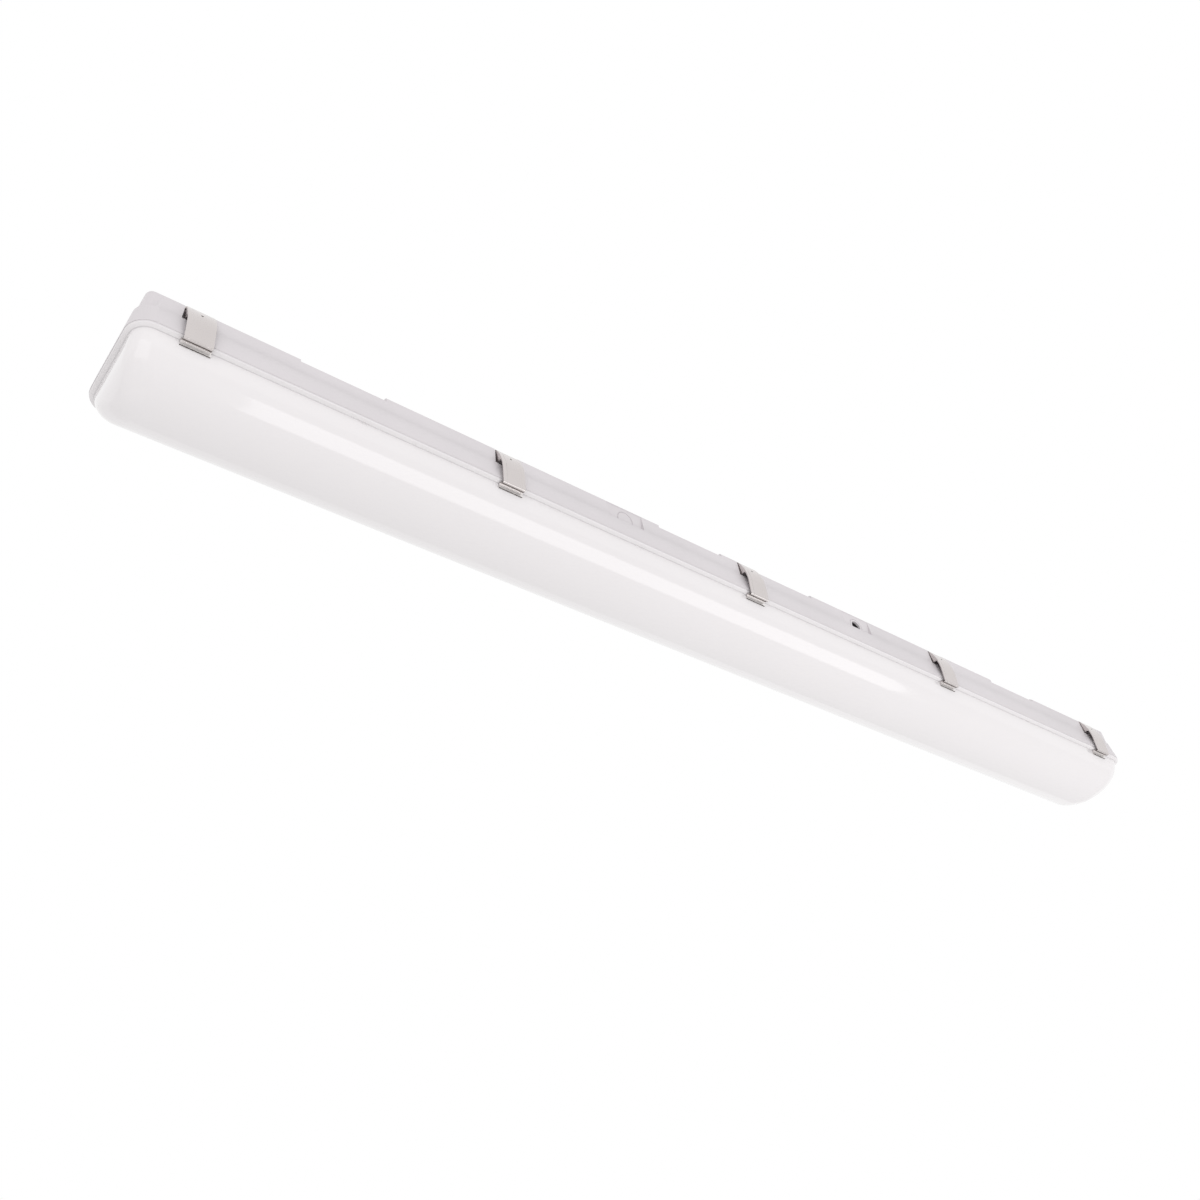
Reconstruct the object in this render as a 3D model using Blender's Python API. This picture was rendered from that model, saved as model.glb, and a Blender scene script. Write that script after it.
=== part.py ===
"""Vapor tight light fixture: a long sealed ceiling light held shut by clip latches.

Metres, +Z up. The fixture lies along X and hangs below the origin, which is the middle of its
back, where the raised pads meet the ceiling. Heights are measured up from the joint plane, where
the housing's lip meets the lens's flange, and turned into Z by the function at_height.
"""

import math

import bmesh
import bpy
from mathutils import Matrix, Vector

# Overall sizes
rim_length = 1.2716
rim_width = 0.1080
rim_corner_radius = 0.0190
housing_height = 0.0450
lens_depth = 0.0380

# Clearances
seat_gap = 0.0003
pin_clearance = 0.0004
cut_overrun = 0.0100

# Facets of round pieces, from small bores to wire entries
bore_steps = 8
lead_hole_steps = 12
round_steps = 16
entry_steps = 24

# Housing section, from the lip up to the back
housing_wall = 0.0025
lip_height = 0.0012
crease_height = 0.0224
crease_rise = 0.0006
crease_ledge = 0.0004
flare_run = 0.0043
end_flare_share = 0.74
back_taper = 0.0024
back_edge_radius = 0.0040
back_edge_steps = 3
rim_band_width = 0.0076
rim_band_height = 0.0062

# Upright nose at each end, above the crease, that the leaning sides turn in to
nose_step = 0.0003
nose_corner_radius = 0.0070
nose_end_inset = 0.0010
nose_length = 0.0125
nose_turn_radius = 0.0050
nose_corner_steps = 3
nose_turn_steps = 2
corner_steps = nose_corner_steps + nose_turn_steps + 1

# Raised pads on the back: the low ground between them takes the mounting clips
recess_shift = -0.0110
inner_recess_length = 0.0825
outer_recess_length = 0.0800
inner_recess_share = 0.1102
outer_recess_share = 0.7660
recess_flat_width = 0.0880
inner_recess_depth = 0.0022
inner_recess_edge_drop = 0.0056
outer_recess_depth = 0.0026
outer_recess_edge_drop = 0.0064
end_pad_drop = 0.0010
end_pad_edge_drop = 0.0036

# Gasket and its groove
gasket_width = 0.0034
groove_depth = 0.0032
groove_outer_wall = 0.0018

# Lens
lens_flange_inset = 0.0008
lens_flange_width = 0.0046
lens_flange_edge = 0.0018
lens_flange_draft = 0.0008
lens_flange_chamfer = 0.0009
lens_wall = 0.0022
lens_end_length = 0.0282
lens_end_roundness = 2.7
lens_corner_radius = 0.0204
lens_corner_growth_share = 0.5
lens_corner_share = 0.98
lens_levels = 9
lens_last_angle = math.radians(82)
lug_radius = 0.0070
lug_proud = 0.0006

# Latches
latch_count = 5
latch_end_inset = 0.0503
inner_latch_share = 0.5056
outer_latch_spacing = rim_length - 2 * latch_end_inset
inner_latch_spacing = outer_latch_spacing * inner_latch_share
outer_recess_spacing = outer_latch_spacing * outer_recess_share
inner_recess_spacing = outer_latch_spacing * inner_recess_share
latch_width = 0.0230
latch_sheet = 0.0010
latch_bow_radius = 0.0550
latch_bow_height = 0.0100
latch_standoff = 0.0025
latch_bow_steps = 5
latch_foot_drop = 0.0063
latch_peak_drop = 0.0029
latch_peak_reach = 0.0026
latch_tip_reach = 0.0034
latch_tip_drop = 0.0080
latch_lip_overhang = 0.0008
latch_bend_radius = 0.0011
latch_bend_steps = 2
latch_edge_setback = 0.0003
hinge_depth = 0.0038
hinge_inset = 0.0092
knuckle_radius = 0.0019
pin_radius = 0.0013
pin_engagement = 0.0015
ear_height = 0.0130
ear_back = 0.0018
ear_top_drop = 0.0002
ear_elbow_rise = 0.0005
ear_elbow_gap = 0.0006
edge_return_height = 0.0145
edge_return_gap = 0.0005
dimple_radius = 0.0030
dimple_depth = 0.0005
dimple_height = 0.0305
dimple_levels = 6

# Slots that the latches turn in
slot_side_gap = 0.0012
slot_floor_gap = 0.0004
slot_foot_gap = 0.0006

# Side pockets with a round wire entry
pocket_spacing_share = 0.2741
pocket_spacing = outer_latch_spacing * pocket_spacing_share
pocket_length = 0.0420
pocket_floor_inset = 0.0074
pocket_top_drop = 0.0036
entry_radius = 0.0062
entry_height = 0.0286
entry_ring_width = 0.0030
entry_ring_depth = 0.0005
entry_ring_groove = 0.0008
entry_ring_overrun = 0.0010

# Gear tray and its screws
tray_end_gap = 0.0458
tray_length = rim_length - 2 * tray_end_gap
tray_side_gap = 0.0120
tray_width = rim_width - 2 * tray_side_gap
tray_sheet = 0.0010
tray_flange_height = 0.0120
tray_height = 0.0050
tray_bend_radius = 0.0015
tray_screw_inset = 0.0700
tray_screw_spacing = tray_length - 2 * tray_screw_inset
tray_inner_screw_spacing = 0.1200
tray_screw_radius = 0.0019
tray_screw_length = 0.0120
boss_radius = 0.0055
boss_draft = 0.0010
hole_overrun = 0.0025
screw_head_share = 2.0
screw_head_height_share = 1.1
screw_crown_share = 0.7
screw_rim_share = 0.55
screw_tip_share = 0.4

# LED boards
board_width = 0.0200
board_thickness = 0.0016
board_end_gap = 0.0120
board_end_margin = 0.0240
board_length = (tray_length - board_end_gap) / 2 - board_end_margin
board_row_spacing = 0.0440
led_count = 14
led_length = 0.0056
led_width = 0.0030
led_height = 0.0007
connector_length = 0.0080
connector_width = 0.0060
connector_height = 0.0036
board_screw_radius = 0.0013
board_screw_length = 0.0050
board_screw_inset = board_length / led_count

# Driver
driver_x = -(tray_screw_spacing + tray_inner_screw_spacing) / 4
driver_case_length = 0.2800
driver_width = 0.0440
driver_height = 0.0260
driver_sheet = 0.0010
driver_corner_radius = 0.0030
driver_inner_radius = 0.0008
driver_top_chamfer = 0.0015
driver_tab_length = 0.0150
driver_lead_hole_radius = 0.0030
driver_lead_hole_reach = 0.0040
driver_lead_tuck = 0.0020
driver_lead_spacing = 0.0120
driver_lead_height = 0.0080

# Terminal block
terminal_place_share = 0.1822
terminal_x = tray_length * terminal_place_share
terminal_reach_share = 1 / 3
terminal_y = -tray_width * terminal_reach_share
terminal_length = 0.0300
terminal_width_share = 0.24
terminal_width = tray_width * terminal_width_share
terminal_height = 0.0140
terminal_ways = 3
terminal_port_radius = 0.0020
terminal_port_depth = 0.0060
terminal_port_height = 0.0036
terminal_step_height = 0.0095
terminal_foot_length = 0.0080
terminal_foot_height = 0.0036
terminal_step_share = 0.55

# Leads
lead_radius = 0.0012
lead_turn_radius = 0.0040
lead_turn_steps = 2
lead_pitch = 0.0036
lead_entry_pitch = 0.0031
lead_straight = 0.0100
lead_hole_radius = 0.0050
ground_screw_setback = 0.0400
ground_screw_x = terminal_x - ground_screw_setback
ground_screw_y = 0.0060


def at_height(height):
    """Z of a height above the joint plane."""
    return height - housing_height


def clear_scene():
    for old in list(bpy.data.objects):
        bpy.data.objects.remove(old)


def make_material(name, colour, roughness, metallic=0.0, transmission=0.0):
    material = bpy.data.materials.new(name)
    material.use_nodes = True
    shader = material.node_tree.nodes["Principled BSDF"]
    shader.inputs["Base Color"].default_value = (*colour, 1.0)
    shader.inputs["Roughness"].default_value = roughness
    shader.inputs["Metallic"].default_value = metallic
    shader.inputs["Transmission Weight"].default_value = transmission
    material.diffuse_color = (*colour, 1.0)
    return material


def add_object(name, mesh, material):
    obj = bpy.data.objects.new(name, mesh)
    bpy.context.scene.collection.objects.link(obj)
    if not mesh.materials:
        mesh.materials.append(material)
    return obj


def finish_mesh(name, shape, smooth_angle=math.radians(32)):
    bmesh.ops.recalc_face_normals(shape, faces=shape.faces[:])
    mesh = bpy.data.meshes.new(name)
    shape.to_mesh(mesh)
    shape.free()
    mesh.shade_smooth()
    mesh.set_sharp_from_angle(angle=smooth_angle)
    return mesh


def add_rings(shape, rings):
    """A closed solid through rings of equally many points, with a flat cap at each end."""
    rows = [[shape.verts.new(point) for point in ring] for ring in rings]
    count = len(rows[0])
    for lower, upper in zip(rows[:-1], rows[1:]):
        for i in range(count):
            j = (i + 1) % count
            shape.faces.new((lower[i], lower[j], upper[j], upper[i]))
    shape.faces.new(rows[0])
    shape.faces.new(rows[-1])


def rounded_outline(half_length, half_width, radius, z):
    """A rectangle with round corners, as points in the plane at z."""
    points = []
    for quarter in range(4):
        sign_x = 1 if quarter in (0, 3) else -1
        sign_y = 1 if quarter in (0, 1) else -1
        centre = Vector((sign_x * (half_length - radius), sign_y * (half_width - radius), z))
        for step in range(corner_steps + 1):
            angle = (quarter + step / corner_steps) * math.pi / 2
            points.append(centre + Vector((math.cos(angle), math.sin(angle), 0)) * radius)
    return points


def circle_outline(radius, offset, axis, steps):
    """A circle about an axis through the origin, moved along that axis by offset."""
    points = []
    for step in range(steps):
        angle = 2 * math.pi * step / steps
        a, b = radius * math.cos(angle), radius * math.sin(angle)
        if axis == "X":
            points.append(Vector((offset, a, b)))
        elif axis == "Y":
            points.append(Vector((b, offset, a)))
        else:
            points.append(Vector((a, b, offset)))
    return points


def moved(points, shift):
    return [point + Vector(shift) for point in points]


def add_cylinder(shape, radius, start, length, axis, steps=round_steps):
    first = moved(circle_outline(radius, 0, axis, steps), start)
    last = moved(circle_outline(radius, length, axis, steps), start)
    add_rings(shape, [first, last])


def add_box(shape, low, high):
    corners = [(low[0], low[1]), (high[0], low[1]), (high[0], high[1]), (low[0], high[1])]
    add_rings(shape, [[Vector((x, y, z)) for x, y in corners] for z in (low[2], high[2])])


def add_prism(shape, section, x_low, x_high, side=1):
    """Draws a section, given as (reach from the middle, z), along X on the side named by side."""
    add_rings(shape, [[Vector((x, side * reach, z)) for reach, z in section] for x in (x_low, x_high)])


def add_cutter(name, shape):
    mesh = finish_mesh(name, shape)
    cutter = bpy.data.objects.new(name, mesh)
    bpy.context.scene.collection.objects.link(cutter)
    cutter.hide_render = True
    cutter.display_type = "WIRE"
    return cutter


def combine(obj, other, operation):
    modifier = obj.modifiers.new(other.name, "BOOLEAN")
    modifier.operation = operation
    modifier.solver = "EXACT"
    modifier.object = other


def symmetric(spacing):
    return (-spacing / 2, spacing / 2)


def latch_places():
    """X of the latches along one side, from the near end on."""
    half = (latch_count - 1) / 2
    spacings = {half: outer_latch_spacing / 2, half / 2: inner_latch_spacing / 2, 0: 0}
    places = []
    for i in range(latch_count):
        step = i - half
        places.append(math.copysign(spacings[abs(step)], step))
    return places


# Housing


def housing_half_width(height):
    """Outer half width of the housing at a height, between its lip and its back edge."""
    if height <= lip_height:
        return rim_width / 2
    if height <= crease_height:
        share = (height - lip_height) / (crease_height - lip_height)
        return rim_width / 2 - share * flare_run
    body_start = crease_height + crease_rise
    edge_start = housing_height - back_edge_radius
    share = min(max((height - body_start) / (edge_start - body_start), 0), 1)
    return rim_width / 2 - flare_run - crease_ledge - share * back_taper


def housing_ring(height, inset=0.0):
    """The housing's plan outline at a height up to its crease, drawn in by inset."""
    flare = rim_width / 2 - housing_half_width(height)
    half_length = rim_length / 2 - flare * end_flare_share - inset
    radius = rim_corner_radius - flare - inset
    return rounded_outline(half_length, rim_width / 2 - flare - inset, radius, at_height(height))


def arc_points(centre, radius, first_angle, last_angle, steps):
    points = []
    for step in range(steps + 1):
        angle = first_angle + (last_angle - first_angle) * step / steps
        points.append(Vector(centre) + Vector((math.cos(angle), math.sin(angle))) * radius)
    return points


def body_ring(height, inset=0.0):
    """The plan outline above the crease, drawn in by inset: its sides turn in to a nose at each end."""
    side = housing_half_width(height)
    nose_side = housing_half_width(housing_height) - nose_step
    end = rim_length / 2 - (rim_width / 2 - side) - nose_end_inset
    nose_centre = (end - nose_corner_radius, nose_side - nose_corner_radius)
    corner = arc_points(nose_centre, nose_corner_radius - inset, 0, math.pi / 2, nose_corner_steps)
    turn_radius = nose_turn_radius - inset
    turn_start = math.asin((nose_side - side + turn_radius) / turn_radius)
    turn_centre = (end - nose_length, side - nose_turn_radius)
    corner += arc_points(turn_centre, turn_radius, turn_start, math.pi / 2, nose_turn_steps)
    points = []
    for sign_x, sign_y in ((1, 1), (-1, 1), (-1, -1), (1, -1)):
        run = corner if sign_x == sign_y else corner[::-1]
        points += [Vector((sign_x * point.x, sign_y * point.y, at_height(height))) for point in run]
    return points


def back_edge_rings():
    rings = []
    for step in range(1, back_edge_steps + 1):
        angle = step / back_edge_steps * math.pi / 2
        inset = back_edge_radius * (1 - math.cos(angle))
        height = housing_height - back_edge_radius * (1 - math.sin(angle))
        rings.append(body_ring(height, inset))
    return rings


def groove_reach():
    """Outer and inner half width of the gasket's groove."""
    outer = rim_width / 2 - groove_outer_wall
    return outer, outer - gasket_width - 2 * seat_gap


def housing_shell():
    inner_top = housing_height - outer_recess_depth - housing_wall
    shelf_reach = rim_width / 2 - rim_band_width
    groove_outer, groove_inner = groove_reach()
    shelf_inset = housing_half_width(rim_band_height) - shelf_reach

    def rim_ring(reach, height):
        return moved(housing_ring(0, rim_width / 2 - reach), (0, 0, height))

    rings = [
        body_ring(inner_top, housing_wall),
        body_ring(crease_height + crease_rise - housing_wall, housing_wall),
        housing_ring(crease_height - housing_wall, housing_wall),
        housing_ring(rim_band_height + crease_rise, housing_wall),
        housing_ring(rim_band_height, shelf_inset),
        rim_ring(shelf_reach, 0),
        rim_ring(groove_inner, 0),
        rim_ring(groove_inner, groove_depth),
        rim_ring(groove_outer, groove_depth),
        rim_ring(groove_outer, 0),
        rim_ring(rim_width / 2, 0),
        rim_ring(rim_width / 2, lip_height),
        housing_ring(crease_height),
        body_ring(crease_height + crease_rise),
        body_ring(housing_height - back_edge_radius),
        *back_edge_rings(),
    ]
    shape = bmesh.new()
    add_rings(shape, rings)
    return shape


def hinge_reach():
    return rim_width / 2 - hinge_inset


def slot_floor():
    """Half width of the slot's floor, just behind the latch's knuckle and ear."""
    return hinge_reach() - math.hypot(knuckle_radius, ear_back) - slot_floor_gap


def pocket_floor():
    return rim_width / 2 - pocket_floor_inset


def inner_block(floor, foot, top):
    """Section of the block behind a slot or pocket, reaching out to the middle of the housing's wall."""
    back = floor - housing_wall
    middle = housing_wall / 2
    return [
        (back, at_height(top)),
        (back, at_height(foot)),
        (housing_half_width(foot) - middle, at_height(foot)),
        (housing_half_width(crease_height) - middle, at_height(crease_height)),
        (housing_half_width(top) - middle, at_height(top)),
    ]


def housing_bosses():
    """Everything moulded on the housing's inside: blocks behind slots and pockets, and tray bosses."""
    shape = bmesh.new()
    block_top = housing_height - back_edge_radius + housing_wall / 2
    latch_half = latch_width / 2 + slot_side_gap + pin_engagement + housing_wall / 2
    latch_block = inner_block(slot_floor(), crease_height - housing_wall, block_top)
    pocket_block = inner_block(pocket_floor(), crease_height - housing_wall, block_top)
    for side in (-1, 1):
        for x in latch_places():
            add_prism(shape, latch_block, x - latch_half, x + latch_half, side)
        for x in symmetric(pocket_spacing):
            half = pocket_length / 2 + housing_wall
            add_prism(shape, pocket_block, x - half, x + half, side)
    foot = tray_height + tray_sheet + seat_gap
    top = housing_height - outer_recess_depth - housing_wall / 2
    for x in tray_screw_places():
        rings = [
            moved(circle_outline(boss_radius, 0, "Z", round_steps), (x, 0, at_height(foot))),
            moved(circle_outline(boss_radius + boss_draft, 0, "Z", round_steps), (x, 0, at_height(top))),
        ]
        add_rings(shape, rings)
    return shape


def tray_screw_places():
    return (*symmetric(tray_screw_spacing), *symmetric(tray_inner_screw_spacing))


def add_back_cut(shape, low, high, depth, edge_drop):
    """Lowers the back between low and high by depth, and its edges by edge_drop."""
    reach = rim_width / 2 + cut_overrun
    flat = recess_flat_width / 2
    wall = housing_half_width(housing_height - edge_drop)
    slope = (edge_drop - depth) / (wall - flat)
    foot_z = -edge_drop - slope * (reach - wall)
    section = [(-reach, cut_overrun), (-reach, foot_z), (-flat, -depth), (flat, -depth), (reach, foot_z)]
    section.append((reach, cut_overrun))
    add_prism(shape, section, low, high)


def outer_recess_middles():
    return [recess_shift + spot for spot in symmetric(outer_recess_spacing)]


def back_recesses():
    """Low ground between the raised pads."""
    shape = bmesh.new()
    for spot in symmetric(inner_recess_spacing):
        low = recess_shift + spot - inner_recess_length / 2
        add_back_cut(shape, low, low + inner_recess_length, inner_recess_depth, inner_recess_edge_drop)
    for middle in outer_recess_middles():
        low = middle - outer_recess_length / 2
        add_back_cut(shape, low, low + outer_recess_length, outer_recess_depth, outer_recess_edge_drop)
    return shape


def end_pads():
    """The end pads stand a little lower than the middle ones."""
    shape = bmesh.new()
    for side, middle in zip((-1, 1), outer_recess_middles()):
        span = sorted((middle, side * (rim_length / 2 + cut_overrun)))
        add_back_cut(shape, *span, end_pad_drop, end_pad_edge_drop)
    return shape


def slots_and_pockets():
    shape = bmesh.new()
    reach = rim_width / 2 + cut_overrun
    slot_half = latch_width / 2 + slot_side_gap
    foot = at_height(crease_height + slot_foot_gap)
    slot = [(slot_floor(), foot), (reach, foot), (reach, cut_overrun), (slot_floor(), cut_overrun)]
    pocket_foot = at_height(crease_height + crease_rise)
    pocket_top = -pocket_top_drop
    floor = pocket_floor()
    pocket = [(floor, pocket_foot), (reach, pocket_foot), (reach, pocket_top), (floor, pocket_top)]
    for side in (-1, 1):
        for x in latch_places():
            add_prism(shape, slot, x - slot_half, x + slot_half, side)
        for x in symmetric(pocket_spacing):
            add_prism(shape, pocket, x - pocket_length / 2, x + pocket_length / 2, side)
    screw_hole = tray_screw_radius + pin_clearance
    for x in tray_screw_places():
        start = at_height(tray_height)
        add_cylinder(shape, screw_hole, (x, 0, start), tray_screw_length + tray_sheet + seat_gap, "Z")
    return shape


def housing_bores():
    """Pivot holes in the slots' side walls, the open wire entry and the rings round all entries."""
    shape = bmesh.new()
    half = latch_width / 2 + slot_side_gap + pin_engagement + pin_clearance
    for side in (-1, 1):
        for x in latch_places():
            start = (x - half, side * hinge_reach(), -hinge_depth)
            add_cylinder(shape, pin_radius + pin_clearance, start, 2 * half, "X", bore_steps)
    entry_x = pocket_spacing / 2
    start = (entry_x, -pocket_floor() - entry_ring_depth, at_height(entry_height))
    length = 2 * housing_wall + entry_ring_depth
    add_cylinder(shape, entry_radius, start, length, "Y", entry_steps)
    return shape


def entry_rings():
    """A shallow round groove in each pocket's floor, where its entry is or can be knocked out."""
    shape = bmesh.new()
    outer = entry_radius + entry_ring_width
    inner = outer - entry_ring_groove
    for side in (-1, 1):
        for x in symmetric(pocket_spacing):
            floor = side * pocket_floor()
            near = floor + side * entry_ring_overrun
            deep = floor - side * entry_ring_depth
            rows = [(inner, near), (outer, near), (outer, deep), (inner, deep)]
            centre = (x, 0, at_height(entry_height))
            rings = [moved(circle_outline(radius, y, "Y", entry_steps), centre) for radius, y in rows]
            verts = [[shape.verts.new(point) for point in ring] for ring in rings]
            for a, b in zip(verts, verts[1:] + verts[:1]):
                for i in range(len(a)):
                    j = (i + 1) % len(a)
                    shape.faces.new((a[i], a[j], b[j], b[i]))
    return shape


def make_housing(material):
    housing = add_object("housing", finish_mesh("housing", housing_shell()), material)
    combine(housing, add_cutter("housing_bosses", housing_bosses()), "UNION")
    combine(housing, add_cutter("back_recesses", back_recesses()), "DIFFERENCE")
    combine(housing, add_cutter("end_pads", end_pads()), "DIFFERENCE")
    combine(housing, add_cutter("slots_and_pockets", slots_and_pockets()), "DIFFERENCE")
    combine(housing, add_cutter("housing_bores", housing_bores()), "DIFFERENCE")
    combine(housing, add_cutter("entry_rings", entry_rings()), "DIFFERENCE")


# Gasket


def make_gasket(material):
    outer, inner = groove_reach()
    outer, inner = outer - seat_gap, inner + seat_gap
    top = groove_depth - seat_gap
    rows = [(inner, 0), (outer, 0), (outer, top), (inner, top)]
    shape = bmesh.new()
    rings = [moved(housing_ring(0, rim_width / 2 - reach), (0, 0, height)) for reach, height in rows]
    verts = [[shape.verts.new(point) for point in ring] for ring in rings]
    for a, b in zip(verts, verts[1:] + verts[:1]):
        for i in range(len(a)):
            j = (i + 1) % len(a)
            shape.faces.new((a[i], a[j], b[j], b[i]))
    add_object("gasket", finish_mesh("gasket", shape), material)


# Lens


def lens_root_reach():
    """Outer half width of the lens's bowl where it meets the flange."""
    return rim_width / 2 - lens_flange_inset - lens_flange_width


def lens_ring(angle, inset):
    """The bowl's outline part of the way down, drawn in by inset: an elliptic section, with fuller ends."""
    root = lens_root_reach()
    root_drop = seat_gap + lens_flange_edge + lens_flange_draft
    down = math.sin(angle)
    half_width = root * math.cos(angle) - inset * math.cos(angle)
    bulge = (1 - down**lens_end_roundness) ** (1 / lens_end_roundness)
    half_length = rim_length / 2 - rim_width / 2 + root - lens_end_length * (1 - bulge) - inset
    depth = (lens_depth - root_drop - inset) / math.sin(lens_last_angle)
    root_radius = rim_corner_radius - (rim_width / 2 - root)
    radius = root_radius + (lens_corner_radius - root_radius) * down**lens_corner_growth_share
    radius = min(radius - inset * math.cos(angle), half_width * lens_corner_share)
    return rounded_outline(half_length, half_width, radius, at_height(-root_drop - depth * down))


def flange_ring(reach, drop):
    drawn_in = rim_width / 2 - reach
    return rounded_outline(rim_length / 2 - drawn_in, reach, rim_corner_radius - drawn_in, at_height(-drop))


def lens_shell():
    angles = [lens_last_angle * i / (lens_levels - 1) for i in range(lens_levels)]
    flange_reach = rim_width / 2 - lens_flange_inset
    edge_drop = seat_gap + lens_flange_edge
    rings = [lens_ring(angle, lens_wall) for angle in reversed(angles)]
    rings.append(flange_ring(lens_root_reach() - lens_wall, seat_gap))
    rings.append(flange_ring(flange_reach, seat_gap))
    rings.append(flange_ring(flange_reach, edge_drop - lens_flange_chamfer))
    rings.append(flange_ring(flange_reach - lens_flange_chamfer, edge_drop))
    rings.extend(lens_ring(angle, 0) for angle in angles)
    shape = bmesh.new()
    add_rings(shape, rings)
    return shape


def lens_lugs():
    """Half round lugs under the flange, midway between neighbouring latches."""
    shape = bmesh.new()
    places = latch_places()
    root = lens_root_reach()
    height = at_height(-seat_gap - lens_flange_edge - lens_flange_draft / 2)
    for side in (-1, 1):
        for first, second in zip(places[:-1], places[1:]):
            x = (first + second) / 2
            start = (x, side * (root - lens_wall / 2) - (lug_half() if side < 0 else 0), height)
            add_cylinder(shape, lug_radius, start, lug_half(), "Y")
    return shape


def lug_half():
    return lens_wall / 2 + lug_proud


def lug_trim():
    """Takes off what of the lugs would stand above the flange's underside."""
    shape = bmesh.new()
    top = at_height(-seat_gap)
    add_box(shape, (-rim_length, -rim_width, top), (rim_length, rim_width, top + cut_overrun))
    return shape


def make_lens(material):
    lens = add_object("lens", finish_mesh("lens", lens_shell()), material)
    combine(lens, add_cutter("lens_lugs", lens_lugs()), "UNION")
    combine(lens, add_cutter("lug_trim", lug_trim()), "DIFFERENCE")


# Latches


def offset_path(points, distance):
    """The path moved sideways by distance, with mitred corners."""
    moved_points = []
    for i, point in enumerate(points):
        before = (point - points[i - 1]).normalized() if i else None
        after = (points[i + 1] - point).normalized() if i + 1 < len(points) else None
        first = before or after
        second = after or before
        normal_a = Vector((-first.y, first.x))
        normal_b = Vector((-second.y, second.x))
        middle = (normal_a + normal_b).normalized()
        moved_points.append(point + middle * (distance / middle.dot(normal_a)))
    return moved_points


def rounded_path(corners, radius, steps):
    """A path through corners, each inner one replaced by an arc."""
    path = [corners[0]]
    for before, corner, after in zip(corners[:-2], corners[1:-1], corners[2:]):
        back = (before - corner).normalized()
        forth = (after - corner).normalized()
        half_angle = back.angle(forth) / 2
        run = radius / math.tan(half_angle)
        centre = corner + (back + forth).normalized() * (radius / math.sin(half_angle))
        start = corner + back * run - centre
        end = corner + forth * run - centre
        sweep = start.angle_signed(end)
        for step in range(steps + 1):
            turn = Matrix.Rotation(-sweep * step / steps, 2)
            path.append(centre + turn @ start)
    path.append(corners[-1])
    return path


def latch_face_reach():
    """Half width of the fixture to the middle of the latch's sheet, below its bow."""
    return rim_width / 2 + latch_standoff


def latch_bow():
    """Middle line of the bowed plate, from the hinge down, as (reach, height)."""
    centre = Vector((latch_face_reach() - latch_bow_radius, latch_bow_height))
    top = housing_height - hinge_depth + knuckle_radius - latch_sheet / 2
    top_angle = math.asin((top - latch_bow_height) / latch_bow_radius)
    points = []
    for step in range(latch_bow_steps + 1):
        angle = top_angle * (1 - step / latch_bow_steps)
        points.append(centre + Vector((math.cos(angle), math.sin(angle))) * latch_bow_radius)
    return points


def latch_line():
    """Middle line of the bent sheet: bowed plate, foot, hook under the flange and finger lip."""
    reach = latch_face_reach()
    flange_reach = rim_width / 2 - lens_flange_inset
    foot = [
        latch_bow()[-1],
        Vector((reach, -latch_foot_drop)),
        Vector((flange_reach - latch_peak_reach, -latch_peak_drop)),
        Vector((flange_reach - latch_tip_reach, -latch_tip_drop)),
    ]
    return latch_bow()[:-1] + rounded_path(foot, latch_bend_radius, latch_bend_steps)


def sheet_outline(line, thickness):
    """Closed outline of a bent sheet, from its middle line."""
    return offset_path(line, thickness / 2) + offset_path(line, -thickness / 2)[::-1]


def latch_sheet_shape():
    """The bent sheet, swept along its middle line; its finger lip is a little wider."""
    line = [point - Vector((hinge_reach(), housing_height - hinge_depth)) for point in latch_line()]
    outer = offset_path(line, latch_sheet / 2)
    inner = offset_path(line, -latch_sheet / 2)
    plate_half = latch_width / 2 - latch_edge_setback
    lip_half = latch_width / 2 + latch_lip_overhang
    lip_start = len(line) - latch_bend_steps - 1
    rings = []
    for i, (near, far) in enumerate(zip(outer, inner)):
        half = lip_half if i >= lip_start else plate_half
        corners = ((-half, near), (half, near), (half, far), (-half, far))
        rings.append([Vector((x, -point.x, point.y)) for x, point in corners])
    shape = bmesh.new()
    add_rings(shape, rings)
    return shape


def latch_ear():
    """Outline of one side flange: a deep ear at the hinge, then a narrow return down the plate's edge."""
    hinge = Vector((hinge_reach(), housing_height - hinge_depth))
    back = hinge.x - ear_back
    return_reach = rim_width / 2 + edge_return_gap
    elbow_reach = housing_half_width(crease_height) + ear_elbow_gap
    elbow_height = crease_height + slot_foot_gap + ear_elbow_rise
    outline = [
        Vector((hinge.x, hinge.y + knuckle_radius - ear_top_drop)),
        Vector((back, hinge.y + knuckle_radius / 2)),
        Vector((back, hinge.y - knuckle_radius)),
        Vector((back + ear_back / 2, hinge.y - ear_height)),
        Vector((elbow_reach, elbow_height)),
        Vector((return_reach, edge_return_height)),
        Vector((return_reach, -latch_foot_drop / 2)),
        Vector((latch_face_reach(), -latch_foot_drop / 2)),
    ]
    return outline + latch_bow()[::-1]


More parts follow.
